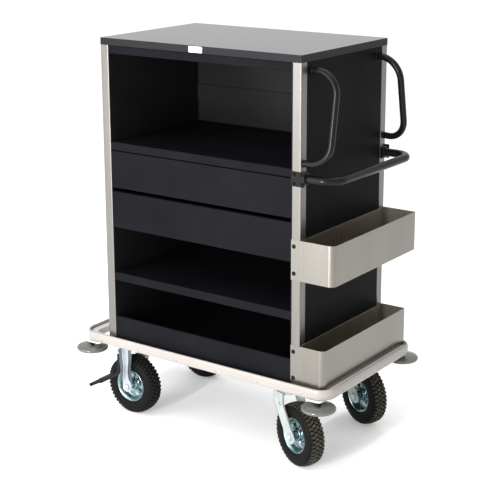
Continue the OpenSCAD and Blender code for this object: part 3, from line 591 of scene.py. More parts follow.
def tyre():
    """Each section point moves along its outward direction by the tread, a product of a pulse along the arc
    and a pulse round the wheel, and by two thin moulded lines; the section is turned about the Y axis."""
    section = tyre_section()
    slope = np.gradient(section, axis=0)
    out = np.stack([slope[:, 1], -slope[:, 0]], 1)
    out /= np.linalg.norm(out, axis=1, keepdims=True)
    out *= np.sign(np.sum(out * (section - [0, MID_WALL]), 1))[:, None]
    steps = np.linalg.norm(np.diff(section, axis=0), axis=1)
    length = np.concatenate([[0], np.cumsum(steps)])
    reach = (length - length[len(section) // 2])[None, :]
    turn = np.linspace(0, 1, BLOCKS * BLOCK_SAMPLES, endpoint=False)[:, None]
    side = np.where(reach < 0, 0.5, 0.0)
    tread = 0
    for low, high, shift, slant in BLOCK_ROWS:
        phase = (turn * BLOCKS + shift + side + slant * np.abs(reach)) % 1
        tread = tread + pulse(np.abs(reach), low, high, 1.3) * pulse(phase, 0.19, 0.81, 0.08)
    lines = sum(high * np.exp(-((section[:, 1] - at) / wide) ** 2) for high, at, wide in MOULD_LINES)
    lift = (TREAD_DEPTH * tread + lines[None, :])[..., None] * out[None]
    across, radius = np.moveaxis(section[None] + lift, 2, 0) * MM
    angle = 2 * math.pi * turn
    points = np.stack([radius * np.cos(angle), across, radius * np.sin(angle)], 2).reshape(-1, 3)
    faces = grid_faces(len(turn), len(section), True, True)
    scuffed = tread * np.where(np.abs(reach) < SHOULDER, 1.0, 0.5)
    return (points, faces), np.broadcast_to(scuffed, across.shape).ravel()


print("tyre section points:", len(tyre_section()))

# %% [markdown]
# ## Pressed rims
# A rim of this kind is two steel dishes bolted back to back. Each has a rolled lip, a deep well, a web
# with four raised lobes between the nuts, and a hub tube. The dish is a closed section turned round the
# axle, with the web pushed out by a wave that repeats four times.

# %% The rim, its nuts and its hub
LOBES = 4
LOBE_RISE = 4.6
NUT_CIRCLE = 32 * MM
NUT_BASE = 3 * MM
RIM_STEPS = 144


def dish():
    """The outer face from lip to hub and back inside it, turned about the axle; the web's height adds a soft
    step of cos(lobes x angle), in a window between the hub and the well."""
    face = smooth_through([(57.6, 22.4), (57.9, 24.2), (56.6, 25.3), (54.6, 24.6), (51.5, 22.2),
                           (48.4, 18.5), (46.6, 11), (44.0, 6.4), (40.0, 4.6), (35.0, 4.4), (29.0, 4.8),
                           (24.0, 5.4), (20.5, 8.2), (18.4, 13.5), (15.2, 15.5)], 3)
    section = np.concatenate([face, (face - [0.6, 2.4])[::-1]])
    angle = np.linspace(0, 2 * math.pi, RIM_STEPS, endpoint=False)[:, None]
    radius, height = section[None, :, 0], section[None, :, 1]
    window = pulse(radius, 26, 38, 6)
    height = height + LOBE_RISE * window * soft_step(0.5 + 0.9 * np.cos(LOBES * angle))
    points = np.stack([radius * np.cos(angle), -height, radius * np.sin(angle) + 0 * height], 2) * MM
    return points.reshape(-1, 3), grid_faces(RIM_STEPS, len(section), True, True)


def hex_nut(flats, height):
    """A nut standing on zero: six sides, with the top's corners cut back."""
    corner = flats / 2 / math.cos(math.radians(30))
    ring = circle(1, 6)
    levels = [(corner, 0), (corner, height * 0.8), (corner * 0.88, height)]
    points = np.concatenate([np.column_stack([ring * r, np.full(6, z)]) for r, z in levels]) * MM
    return points, capped(3, 6)


def rim():
    """Two dishes back to back, each with a nut between its lobes and half of the hub tube."""
    nuts = []
    for k in range(LOBES):
        a = math.radians(45 + 90 * k)
        place = (NUT_CIRCLE * math.cos(a), -NUT_BASE, NUT_CIRCLE * math.sin(a))
        nuts.append(moved(pointing(hex_nut(12, 11), "-y"), place))
    hub = turned_y([(6.1, 0), (15, 0), (15, 33), (13.6, 35.4), (6.1, 35.4)])
    half = join(dish(), hub, *nuts)
    return join(half, mirror(half, 1))


print("rim points:", len(rim()[0]))

# %% [markdown]
# The two casters at the plain end are fixed, so their axles lie straight across the cart. The two at the
# handle end swivel, and their wheels trail behind the pivot, so a part is first moved out by the trail
# and then turned about the pivot. The tyres carry their wear as a number on each point.

# %% Fit the four wheels
def place_wheel(part, end, side):
    """A wheel part from its own axle to its place; the swivelling pair is turned and trails its pivot."""
    sign = SIDES[side]
    if end == "left":
        return moved(part, (CASTER_LEFT, sign * CASTER_Y, AXLE_Z))
    pivot = (CASTER_RIGHT, sign * CASTER_Y)
    return turned(moved(part, (pivot[0] + TRAIL, pivot[1], AXLE_Z)), TURNED[side], pivot)


tyre_part, worn = tyre()
rim_part = rim()
for side in SIDES:
    for end in ("left", "right"):
        name = f"{side}_{end}"
        rubber = clean_rubber if end == "left" else dusty_rubber
        made = piece(f"{name}_air_tyre", place_wheel(tyre_part, end, side), rubber, f"{name}_wheel",
                     [f"{name}_tyre"], sharp=50)
        wear = made.data.attributes.new("worn", "FLOAT", "POINT")
        wear.data.foreach_set("value", worn.astype(np.float32))
        piece(f"{name}_pressed_rim", place_wheel(rim_part, end, side), rim_zinc, f"{name}_wheel",
              [f"{name}_rim"], sharp=40)
print("wheels fitted:", len(tyre_part[1]), "tyre faces,", len(rim_part[1]), "rim faces")

# %% [markdown]
# ## Caster forks
# Each fork is pressed from plate: a flat top plate, and two legs whose edges are folded outwards for
# stiffness and end in a round eye at the axle. A leg is a sheet, so it is a grid: rows run down the leg
# and columns run across it from one folded edge to the other. A swivel fork's leg also has a slot near
# its top.

# %% One pressed leg
LEG_HALF = 20 * MM
LEG_FACE = 36 * MM
LEG_THICK = 3.5 * MM
LEG_BEND = 3 * MM
UPRIGHT_RUN = 32 * MM
NECK_UP, NECK_SPREAD = 62 * MM, 26 * MM
FOLD_UP, FOLD_FADE, FOLD_LEAST = 4 * MM, 38 * MM, 1.2 * MM
SLOT_DOWN, SLOT_HALF = 38 * MM, 7 * MM


def leg(top, trail, fold, neck_in, half_width, slotted=False):
    """Rows at height z: a steady width, drawn in at the neck by a bell curve, that closes as a circle below
    the axle; edges fold out by a depth that fades towards the axle. The middle line is upright under the
    crown and then rakes back by the trail. A slotted leg leaves out the faces of an upright slot."""
    drop = np.linspace(0, 1, 40) ** 0.8
    height = top - drop * (top - AXLE_Z)
    end = AXLE_Z - half_width * np.sin(np.linspace(0, math.pi / 2, 15)[1:])
    z = np.concatenate([height, end])[:, None]
    half = np.sqrt(np.clip(half_width**2 - np.clip(AXLE_Z - z, 0, None) ** 2, 1e-8, None))
    neck = 1 - neck_in * np.exp(-((z - AXLE_Z - NECK_UP) / NECK_SPREAD) ** 2)
    depth = fold * soft_step((z - AXLE_Z - FOLD_UP) / FOLD_FADE) + FOLD_LEAST
    lip = np.linspace(1, 0, 4)
    curl = np.radians(np.linspace(0, 90, 5)[1:])
    across = np.concatenate([0 * lip, LEG_BEND * (1 - np.cos(curl))])[None]
    side = half * neck - np.minimum(across, half * 0.9)
    out_lip = LEG_BEND + (depth - LEG_BEND) * lip[None]
    out_curl = np.broadcast_to(LEG_BEND * (1 - np.sin(curl))[None], (len(z), 4))
    out = np.minimum(np.concatenate([out_lip, out_curl], 1), depth)
    straight = top - UPRIGHT_RUN
    middle = trail * np.clip((straight - z) / (straight - AXLE_Z), 0, 1)
    inner = np.linspace(-1, 1, 8)[1:-1] * side[:, -1:]
    x = np.concatenate([-side, inner, side[:, ::-1]], 1)
    y = LEG_FACE + LEG_THICK + np.concatenate([out, np.repeat(out[:, -1:], 6, 1), out[:, ::-1]], 1)
    rows, columns = x.shape
    points = np.stack([x + middle, y, np.broadcast_to(z, x.shape)], 2).reshape(-1, 3)
    faces = grid_faces(rows, columns)
    if slotted:
        face_z = np.repeat((z[:-1, 0] + z[1:, 0]) / 2, columns - 1)
        column = np.tile(np.arange(columns - 1), rows - 1)
        gone = (np.abs(face_z - (top - SLOT_DOWN)) < SLOT_HALF) & (column == columns // 2 - 1)
        faces = [face for face, cut in zip(faces, gone) if not cut]
    return points, faces


print("leg points:", len(leg(PLATE_TOP, 0, 9 * MM, 0.1, LEG_HALF)[0]))

# %% [markdown]
# A pressed leg is one thickness of plate all over, the slot's edge included. The sheet's inner side is
# the same grid moved in, and a wall joins the two along every open edge. Two legs and a top plate make
# the fork, and the brake lever's two ears stand under the plate of a fixed one.

# %% Sheet with a thickness
def sheet_walls(part, depth):
    """A sheet and its copy moved in along Y by a depth, joined by a wall along every edge that only one face
    has, so a hole in the sheet gets its wall too."""
    points, faces = part
    inner = points - [0, depth, 0]
    count = len(points)
    edges = {}
    for face in faces:
        for a, b in zip(face, face[1:] + face[:1]):
            edges[(a, b)] = edges.get((a, b), 0) + 1
    rim_edges = [(a, b) for (a, b) in edges if (b, a) not in edges]
    walls = [[b, a, a + count, b + count] for a, b in rim_edges]
    return np.concatenate([points, inner]), faces + [[k + count for k in f[::-1]] for f in faces] + walls


def eye(trail):
    """A flat washer round the axle on the leg's outer face."""
    ring = turned_y([(6, 0), (13.5, 0), (13.5, 1.6), (12.6, 2.2), (6, 2.2)])
    return moved(ring, (trail, -LEG_FACE - LEG_THICK, AXLE_Z))


def both_legs(*shape):
    """One leg with its eye, and its mirror image on the other side of the wheel."""
    trail = shape[1]
    one = join(sheet_walls(leg(*shape), LEG_THICK), mirror(eye(trail), 1))
    return join(one, mirror(one, 1))


print("a pair of legs has", len(both_legs(PLATE_TOP, 0, 9 * MM, 0.1, LEG_HALF)[1]), "faces")

# %% [markdown]
# The top plate is bolted to a pad on the base. On the fixed casters its legs run straight down from it, and
# the two small ears between plate and leg carry the brake lever's pins.

# %% Fixed forks
PLATE_LOW = PLATE_TOP - 5 * MM
CROWN = PLATE_LOW - 10 * MM
EAR_Y = 38 * MM
top_plate = rounded_plate(57.5 * MM, 46 * MM, 9 * MM, PLATE_LOW, PLATE_TOP)
brake_ears = [block((-37 * MM, y - 2 * MM, CROWN - 16 * MM), (-18 * MM, y + 2 * MM, PLATE_LOW + MM))
              for y in (-EAR_Y, EAR_Y)]
rigid_fork = join(top_plate, both_legs(PLATE_LOW + MM, 0, 15 * MM, 0.2, LEG_HALF), *brake_ears)
for side, sign in SIDES.items():
    piece(f"{side}_rigid_fork_pressed", moved(rigid_fork, (CASTER_LEFT, sign * CASTER_Y, 0)), zinc, "cart",
          [f"{side}_rigid_fork"], bevel=0.8 * MM)
print("rigid forks:", len(rigid_fork[1]), "faces each")

# %% [markdown]
# A swivelling caster turns on a ring of balls. The fixed plate is pressed down into an upper cup, the
# fork's crown is a lower cup, and the kingpin's nut holds the two together. Cups are turned shapes, so a
# closed section about the pivot makes each of them, with the dark gap of the ball race left between
# them.

# %% Swivel heads
def cup(rows):
    """A turned shape about the pivot from a section in millimetres."""
    return lathe(np.asarray(rows) * MM, 56)


plate_mm, crown_mm = PLATE_LOW / MM, CROWN / MM
upper_cup = cup([(0.2, plate_mm + 1), (40, plate_mm + 1), (37.5, plate_mm - 2), (34.5, plate_mm - 6.5),
                 (32, plate_mm - 8.6), (0.2, plate_mm - 8.6)])
race = cup([(9, crown_mm + 0.8), (29, crown_mm + 0.8), (30, crown_mm + 2.6), (9, crown_mm + 2.6)])
kingpin = cup([(0.2, crown_mm + 1), (7.9, crown_mm + 1), (7.9, crown_mm - 11), (12.8, crown_mm - 11.2),
               (13, crown_mm - 15.5), (10, crown_mm - 17), (0.2, crown_mm - 17)])
lower_cup = cup([(8.2, crown_mm - 8), (30, crown_mm - 8), (36.2, crown_mm - 6.5), (37.6, crown_mm - 2.4),
                 (36.4, crown_mm - 0.4), (34, crown_mm), (8.2, crown_mm)])
crown_bar = rounded_plate(LEG_HALF, LEG_FACE + 3 * MM, 3 * MM, CROWN - 8 * MM, CROWN - 1.5 * MM)
swivel_fork = join(lower_cup, crown_bar, both_legs(CROWN - 1.5 * MM, TRAIL, 2.4 * MM, 0.0, 24 * MM, True))
swivel_top = join(top_plate, upper_cup, race, kingpin)
heads = join(*[moved(swivel_top, (CASTER_RIGHT, sign * CASTER_Y, 0)) for sign in SIDES.values()])
piece("swivel_heads", heads, zinc, "cart", ["swivel_top_plates"], bevel=0.6 * MM)
for side, sign in SIDES.items():
    pivot = (CASTER_RIGHT, sign * CASTER_Y)
    made = turned(moved(swivel_fork, (*pivot, 0)), TURNED[side], pivot)
    piece(f"{side}_swivel_fork_pressed", made, dull_zinc, f"{side}_swivel",
          [f"{side}_swivel_fork"], bevel=0.8 * MM)
print("swivel forks:", len(swivel_fork[1]), "faces each")

# %% [markdown]
# The wheels turn on bolts. At each end there are six flats with their corners cut back, and a short stub
# of thread. Both ends are made alike here, because nut and head look the same from the side.

# %% Axle bolts
AXLE_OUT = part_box("rigid_axles")[1].y - CASTER_Y
AXLE_FACE = LEG_FACE + LEG_THICK + 2 * MM


def axle_end():
    """A nut that stands on the leg's outer face, a stub in its middle, and the shaft behind it."""
    nut = moved(pointing(hex_nut(19, (AXLE_OUT - AXLE_FACE) / MM), "-y"), (0, -AXLE_FACE, 0))
    stub = turned_y([(0.1, AXLE_OUT / MM - 3), (5.6, AXLE_OUT / MM - 3), (5.6, AXLE_OUT / MM - 0.8),
                     (4.8, AXLE_OUT / MM - 0.1), (0.1, AXLE_OUT / MM - 0.1)])
    shaft = turned_y([(0.1, 0), (6, 0), (6, AXLE_FACE / MM + 1), (0.1, AXLE_FACE / MM + 1)])
    return join(nut, stub, shaft)


axle = join(axle_end(), mirror(axle_end(), 1))
pair = [place_wheel(axle, "left", side) for side in SIDES]
piece("rigid_axle_bolts", join(*pair), zinc, "cart", ["rigid_axles"], bevel=0.5 * MM)
for side in SIDES:
    piece(f"{side}_swivel_axle_bolt", place_wheel(axle, "right", side), zinc, f"{side}_swivel",
          [f"{side}_swivel_axle"], bevel=0.5 * MM)
print("axle bolts reach", round(AXLE_OUT, 4), "from the wheel's middle")

# %% [markdown]
# ## The base, its vinyl and the rollers
# The base is one square tube bent into a rounded loop, with cross tubes under the posts, pads for the
# casters, gussets for the rollers and a thick vinyl strip all round. Tube and vinyl are both a profile
# carried round the same kind of loop, and the pads are plates welded on.

# %% The tube frame
frame_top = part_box("base_frame")[1].z
TUBE = 25 * MM
TUBE_CORNER = 4 * MM
PAD_T = 5 * MM
GUSSET_R = 14 * MM
VINYL = 10 * MM
BASE_X, BASE_Y = base_high.x, base_high.y
CORNER_R = 56 * MM
tube_x, tube_y = BASE_X - VINYL - TUBE / 2, BASE_Y - VINYL - TUBE / 2
tube_mid = frame_top - TUBE / 2
tube_path = at_height(loop(tube_x, tube_y, CORNER_R - VINYL - TUBE / 2), tube_mid)
ring = sweep(round_square(TUBE, TUBE, TUBE_CORNER), tube_path, closed=True)
crossing = round_square(POST, TUBE, TUBE_CORNER)
crosses = [sweep(crossing, [(MIDDLE_X + s * (HALF_L - POST / 2), y, tube_mid) for y in (-tube_y, tube_y)])
           for s in (-1, 1)]
pad = rounded_plate(64.5 * MM, 53 * MM, 8 * MM, PLATE_TOP, PLATE_TOP + PAD_T)
pads = [moved(pad, (x, sy * CASTER_Y, 0)) for x in (CASTER_LEFT, CASTER_RIGHT) for sy in (-1, 1)]
roller_low, roller_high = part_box("front_right_roller")
ROLLER_X, ROLLER_Y = (roller_low.x + roller_high.x) / 2, -(roller_low.y + roller_high.y) / 2
gusset = rounded_plate(2 * GUSSET_R, 2 * GUSSET_R, GUSSET_R, PLATE_TOP, PLATE_TOP + PAD_T)
gussets = [moved(gusset, (sx * (ROLLER_X - GUSSET_R), sy * (ROLLER_Y - GUSSET_R), 0))
           for sx in (-1, 1) for sy in (-1, 1)]
piece("base_tube_frame", join(ring, *crosses, *pads, *gussets), tube_steel, "cart",
      ["base_frame"], bevel=0.8 * MM)
print("tube loop", len(ring[1]), "faces")

# %% [markdown]
# The vinyl is extruded in one length, pushed over a rail on the tube and screwed down. Its section is a
# closed curve that is full and round on the outside, which draws one long line of light, and squarer on
# the inside, where it lies flat on the tube.

# %% The vinyl strip
strip_half = (base_high.z - base_low.z) / 2
strip_mid = base_low.z + strip_half
out_and_up = circle(1, 48)
out, up = out_and_up.T
swell = np.sign(out) * np.abs(out) ** np.where(out > 0, 1.0, 0.35) * VINYL / 2
strip = np.column_stack([swell, np.sign(up) * np.abs(up) ** 0.8 * strip_half])
vinyl_path = at_height(loop(BASE_X - VINYL / 2, BASE_Y - VINYL / 2, CORNER_R - VINYL / 2, 20), strip_mid)
piece("vinyl_bumper_strip", sweep(strip, vinyl_path, closed=True), vinyl, "cart", ["vinyl_bumper"],
      sharp=60)
print("vinyl", len(vinyl_path), "stations of", len(strip), "points")

# %% [markdown]
# Small pan-head screws hold the vinyl at even steps. They sink into it a little, as a screw does in a
# soft strip, so the same head is set a millimetre below the surface on all four sides.

# %% Screws in the vinyl
def pan_screw(radius, height):
    """A shallow dome with a dimple for the driver, on a closed section."""
    t = np.radians(np.linspace(0, 90, 7))
    dome = np.column_stack([radius * np.cos(t), height * np.sin(t)])[:-2]
    dimple = [(0.34 * radius, height * 0.93), (0.26 * radius, height * 0.35), (0.05 * radius, height * 0.3)]
    rows = np.concatenate([[(0.05 * radius, -height)], [(radius, -height)], dome, dimple])
    return lathe(rows, 20)


head = pan_screw(3.4 * MM, 1.6 * MM)
screw_height = base_low.z + 10 * MM
sink = 1.1 * MM
SIDE_STEP, END_STEP, END_SHIFT = 161.4 * MM, 131 * MM, -48 * MM
screws = []
for k in range(6):
    x = (k - 2.5) * SIDE_STEP
    screws += [moved(pointing(head, "-y"), (x, -BASE_Y + sink, screw_height)),
               moved(pointing(head, "+y"), (x, BASE_Y - sink, screw_height))]
for k in range(3):
    y = (k - 1) * END_STEP + END_SHIFT
    screws += [moved(pointing(head, "+x"), (BASE_X - sink, y, screw_height)),
               moved(pointing(head, "-x"), (-BASE_X + sink, y, screw_height))]
piece("vinyl_screws", join(*screws), screw_grey, "cart", ["bumper_screws"])
print("vinyl screws:", len(screws))

# %% [markdown]
# The rollers at the corners are rubber discs that turn along a wall instead of scraping it. Each is
# shaped like a saucer turned over: a shallow dome with a low hub and a fat rounded rim, as one closed
# section about the bolt.

# %% Corner rollers
roller_top, roller_under = roller_high.z / MM, roller_low.z / MM
rim_arc = arc((47.4, roller_under + 8.2), 6.6, 66, -72, 12)
dome = smooth_through([(14, roller_top - 2.2), (22, roller_top - 1.6), (33, roller_top - 2.6),
                       (42, roller_top - 4.6), tuple(rim_arc[0])], 6)[:-1]
hub_top = [(5.3, roller_top - 4.6), (11.5, roller_top - 4.4), (12.4, roller_top - 3.2)]
under = [(36, roller_under + 1.4), (15, roller_under + 0.8), (14, roller_under), (5.3, roller_under)]
section = np.concatenate([hub_top, dome, rim_arc, under])
disc = lathe(section * MM, 72)
for corner, way, sign in CORNERS:
    piece(f"{corner}_roller_bumper", moved(disc, (way * ROLLER_X, sign * ROLLER_Y, 0)), bumper_grey,
          f"{corner}_roller", [f"{corner}_roller"])
print("roller section:", len(section), "points")

# %% [markdown]
# ## Posts, slab and folded sheet
# The cabinet hangs between four square stainless posts. A drawn tube has rounded corners and folded
# sheet has a bend radius, and those small curves carry the bright lines along every edge, so the posts
# are a round cornered profile and the shelves and rails are a thin bent profile pushed along the cart.

# %% Corner posts
POST_WALL = 1.6 * MM
POST_CORNER = 3.4 * MM


def post(centre_x, centre_y):
    """A rounded square and the same one scaled in by the wall, joined by flat ends."""
    outer = round_square(POST, POST, POST_CORNER, 5)
    inner = outer * (1 - 2 * POST_WALL / (outer.max(0) - outer.min(0)))
    rings = [(outer, post_low.z), (outer, post_high.z), (inner, post_high.z), (inner, post_low.z)]
    points = np.concatenate([at_height(flat + [centre_x, centre_y], z) for flat, z in rings])
    return points, grid_faces(4, len(outer), True, True)


for corner, way, sign in CORNERS:
    centre = (MIDDLE_X + way * (HALF_L - POST / 2), sign * (HALF_D - POST / 2))
    piece(f"{corner}_post_tube", post(*centre), post_steel, "cart", [f"{corner}_post"])
print("posts:", round(post_high.z - post_low.z, 3), "long")

# %% [markdown]
# The slab lies over the posts. It is a board with a hard skin, so it needs only its round corners and a
# bevel wide enough to catch a thin line of light along the edge.

# %% The top slab
half_slab = ((slab_high.x - slab_low.x) / 2, (slab_high.y - slab_low.y) / 2)
slab = moved(rounded_plate(*half_slab, 4 * MM, slab_low.z, slab_high.z), (MIDDLE_X, 0, 0))
piece("top_slab_laminated", slab, laminate, "cart", ["top_slab"], bevel=1.4 * MM,
      segments=3)
print("slab:", [round(2 * v, 3) for v in half_slab])

# %% [markdown]
# A shelf is folded from one sheet: a lip at the front, the flat, and a fold down at the back. Its
# section is a line with a small bend at each corner, given the sheet's thickness and pushed along the
# cart. A box with a bevel would look solid, and the real shelf is hollow underneath.

# %% Bent sheet pushed along the cart
def bent_sheet(line, thickness, radius, steps=5):
    """The section of folded sheet in (y, z): each inner corner of a line becomes an arc, and the section is
    that line and the same line moved half a thickness to each side."""
    line = np.asarray(line, float)
    path = [line[0]]
    for before, corner, after in zip(line[:-2], line[1:-1], line[2:]):
        u, v = (before - corner), (after - corner)
        u, v = u / np.linalg.norm(u), v / np.linalg.norm(v)
        t = np.linspace(0, 1, steps + 1)[:, None]
        path.extend(corner + radius * ((1 - t) ** 2 * u + t**2 * v))
    path.append(line[-1])
    path = np.asarray(path)
    ahead = np.gradient(path, axis=0)
    normal = np.column_stack([-ahead[:, 1], ahead[:, 0]])
    normal /= np.linalg.norm(normal, axis=1, keepdims=True)
    return np.concatenate([path + normal * thickness / 2, (path - normal * thickness / 2)[::-1]])


def along_x(section, low, high):
    """A (y, z) section pushed from one x to another."""
    n = len(section)
    return np.concatenate([np.column_stack([np.full(n, x), section]) for x in (low, high)]), capped(2, n)


print("one bend has", len(bent_sheet([(0, 1), (0, 0), (1, 0)], 0.1, 0.2)), "points round its section")

# %% [markdown]
# The upper deck, the middle shelf, the header rail and the bottom tray are all folded this way. Each
# takes its length and its outline from the box of the part that it stands for, so only the line that the
# fold follows is different.

# %% Shelves, header rail and bottom tray
SHELF_BEND = 2.2 * MM
BACK_FOLD = 20 * MM
LIP_RETURN, TRAY_RETURN, TRAY_HOOK = 7 * MM, 11 * MM, 10 * MM


def folded(name, node, line):
    """A line in (y, z) as bent sheet over the length of the part that it stands for."""
    low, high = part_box(node)
    part = along_x(bent_sheet(line, SHEET, SHELF_BEND), low.x, high.x)
    return piece(name, part, powder, "cart", [node], sharp=25)


def sheet_middle(node):
    """The front, underside, back and top of a part's box, each half a sheet inside it."""
    low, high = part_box(node)
    return low.y + HALF_SHEET, low.z + HALF_SHEET, high.y - HALF_SHEET, high.z - HALF_SHEET


def shelf_line(node, back_fold):
    """Up the front lip, across the top and down the back fold, along the middle of the sheet."""
    front, under, back, top = sheet_middle(node)
    return [(front + LIP_RETURN, under), (front, under), (front, top), (back, top),
            (back, top + HALF_SHEET - back_fold)]


folded("upper_deck_folded", "upper_deck", shelf_line("upper_deck", BACK_FOLD))
folded("middle_shelf_folded", "middle_shelf", shelf_line("middle_shelf", BACK_FOLD))
rail_front, rail_under, rail_back, rail_top = sheet_middle("front_header_rail")
rail_end = rail_back + HALF_SHEET
folded("header_rail_folded", "front_header_rail",
       [(rail_end, rail_top), (rail_front, rail_top), (rail_front, rail_under), (rail_end, rail_under)])
tray_front, tray_under, tray_back, tray_top = sheet_middle("bottom_tray")
tray_return = tray_front - HALF_SHEET + TRAY_RETURN
folded("bottom_tray_folded", "bottom_tray",
       [(tray_back + HALF_SHEET, tray_under), (tray_front, tray_under), (tray_front, tray_top),
        (tray_return, tray_top), (tray_return, tray_top + HALF_SHEET - TRAY_HOOK)])
print("folded sheets: 4")

# %% [markdown]
# A drawer front is a shallow pan: a flat face with all four edges folded back, and a small hook at the
# bottom edge for the fingers. It has no pull; the gap over the lower front is the grip. The face and its
# top and bottom folds are one bent section, and two end caps close the sides.

# %% Drawer fronts
FRONT_BEND = 2.4 * MM
HOOK = 9 * MM
CAP_INSET = 0.9 * MM


def drawer_front(node):
    """Top fold, face, bottom fold and finger hook as one bent section, with a cap inside each end."""
    low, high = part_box(node)
    front, under, _, top = sheet_middle(node)
    back = high.y
    line = [(back, top), (front, top), (front, under), (back, under), (back, low.z + HOOK)]
    face = along_x(bent_sheet(line, SHEET, FRONT_BEND), low.x, high.x)
    ends = [block((x0, low.y + CAP_INSET, low.z + CAP_INSET), (x0 + SHEET, back, high.z - CAP_INSET))
            for x0 in (low.x, high.x - SHEET)]
    return join(face, *ends)


for level in ("upper", "lower"):
    piece(f"{level}_drawer_folded_front", drawer_front(f"{level}_drawer_front"), powder, f"{level}_drawer",
          [f"{level}_drawer_front"], bevel=0.5 * MM, sharp=25)
print("drawer fronts: 2")

# %% [markdown]
# ## Handles
# The handles are bent steel tube with a black coat. A bent tube is a circle carried along a line of
# straight runs and quarter arcs. The push handle sits in a clamp on each post; the lift handles are
# bolted through small collars, lean in at the top and turn a little towards each other.

# %% Bent tubes
def u_path(half_span, reach, bends, steps=16):
    """Out along X from Y = -half, round a quarter bend, across, and back, as points on one line."""
    low, high = bends
    first = arc((reach - low, low - half_span), low, -90, 0, steps)
    second = arc((reach - high, half_span - high), high, 0, 90, steps)
    return np.concatenate([[(0, -half_span)], first, second, [(0, half_span)]])


deck_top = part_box("upper_deck")[1].z
push_low, push_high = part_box("push_handle")
PUSH_R = (push_high.z - push_low.z) / 2
PUSH_Z = (push_high.z + push_low.z) / 2
PUSH_HALF = push_high.y - PUSH_R
CABINET_END = MIDDLE_X + HALF_L
push_reach = push_high.x - PUSH_R - CABINET_END
push_line = at_height(u_path(PUSH_HALF, push_reach, (55 * MM, 55 * MM)) + [CABINET_END, 0], PUSH_Z)
push_tube = sweep(circle(PUSH_R, 32), push_line)
piece("push_handle_tube", push_tube, handle_black, "cart", ["push_handle"], sharp=50)
print("push handle:", round(push_reach, 3), "out")

# %% [markdown]
# The lift handles are the same U stood upright, so the same path is made flat and then set up as points:
# turned a little about its foot line, leaned about X, and moved to its place. Each end has a turned
# collar against the panel.

# %% Lift handles
LIFT_R, LIFT_REACH, LIFT_BENDS = 10.6 * MM, 86 * MM, (64 * MM, 70 * MM)
LIFT_LEAN = {"front": 44 * MM, "rear": 50 * MM}
LIFT_TURN = {"front": 2.5, "rear": 8.0}
LIFT_LOW = {"front": deck_top + 17 * MM, "rear": deck_top + 26 * MM}
LIFT_INSET = 22 * MM
lift_high = slab_low.z - 28 * MM


def lift_handle(side):
    """The U stands in a vertical plane, turns about its foot line, leans about X, and moves to its place."""
    sign, lift_low = SIDES[side], LIFT_LOW[side]
    tilt = math.atan(LIFT_LEAN[side] / (lift_high - lift_low))
    span = (lift_high - lift_low) / math.cos(tilt)
    flat = u_path(span / 2, LIFT_REACH, LIFT_BENDS)
    line = np.column_stack([flat[:, 0], np.zeros(len(flat)), flat[:, 1]])
    turn = math.radians(-sign * LIFT_TURN[side])
    line = np.column_stack([line[:, 0] * math.cos(turn), line[:, 0] * math.sin(turn), line[:, 2]])
    lean = sign * tilt
    line = np.column_stack([line[:, 0], line[:, 1] * math.cos(lean) - line[:, 2] * math.sin(lean),
                            line[:, 1] * math.sin(lean) + line[:, 2] * math.cos(lean)])
    place = (CABINET_END, sign * (HALF_D - POST / 2 - LIFT_INSET), (lift_low + lift_high) / 2)
    line = line + np.asarray(place)
    collar = lathe(np.array([(0.3, 0), (11.6, 0), (11.6, 1.2), (10.6, 2.4), (0.3, 2.4)]) * MM, 32)
    collars = [moved(pointing(collar, "+x"), end) for end in (line[0], line[-1])]
    return join(sweep(circle(LIFT_R, 28), line, up=(0, 1, 0)), *collars)


for side in SIDES:
    piece(f"{side}_lift_handle_tube", lift_handle(side), handle_black, "cart",
          [f"{side}_lift_handle"], sharp=50)
print("lift handles:", round(LIFT_REACH, 3), "out")

# %% [markdown]
# A clamp is cast round the post's corner: a plate on the front, a block on the side, and a collar that
# takes the tube's end. Blocks with a wide bevel look cast, while the collar is turned, so it stays a
# lathe shape.

# %% The clamps that hold the push handle
clamp_low, clamp_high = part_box("push_handle_clamps")
CLAMP_T = 4 * MM
SOCKET_OUT = 10 * MM


def clamp(sign):
    """A plate over the post's front, a socket block on its side, and a collar where the tube goes in."""
    face_y = HALF_D * sign
    plate = block((CABINET_END - POST, min(face_y, face_y + sign * CLAMP_T), clamp_low.z),
                  (CABINET_END + 14 * MM, max(face_y, face_y + sign * CLAMP_T), clamp_high.z))
    inner = face_y - sign * POST
    socket = block((CABINET_END, min(face_y, inner), clamp_low.z + 4 * MM),
                   (CABINET_END + SOCKET_OUT, max(face_y, inner), clamp_high.z - 4 * MM))
    ring = lathe(np.array([(12.8, 0), (15.4, 0), (15.4, 4), (14.4, 5.4), (12.8, 5.4)]) * MM, 36)
    collar = moved(pointing(ring, "+x"), (CABINET_END + SOCKET_OUT - MM, sign * PUSH_HALF, PUSH_Z))
    return join(plate, socket, collar)


piece("push_handle_clamp_pair", join(clamp(-1), clamp(1)), handle_black, "cart",
      ["push_handle_clamps"], bevel=1.4 * MM, segments=3)
print("clamps: 2")

# %% [markdown]
# ## Side bins
# Each bin is one strip of brushed sheet bent round three sides and closed along the cabinet, with a
# floor let in. The corner at the front is a generous bend and the rear corner is tight. The front wall
# runs on over the post, where two screws hold it. The strip is a thin profile carried round the bin's
# plan. The faces that look inwards take a lighter finish of their own, as painted light, because they
# mostly see each other and the dark panel and so would come out darker.

# %% Bins
BIN_SHEET = 1.2 * MM
BEND, TIGHT_BEND = 20 * MM, 2.5 * MM


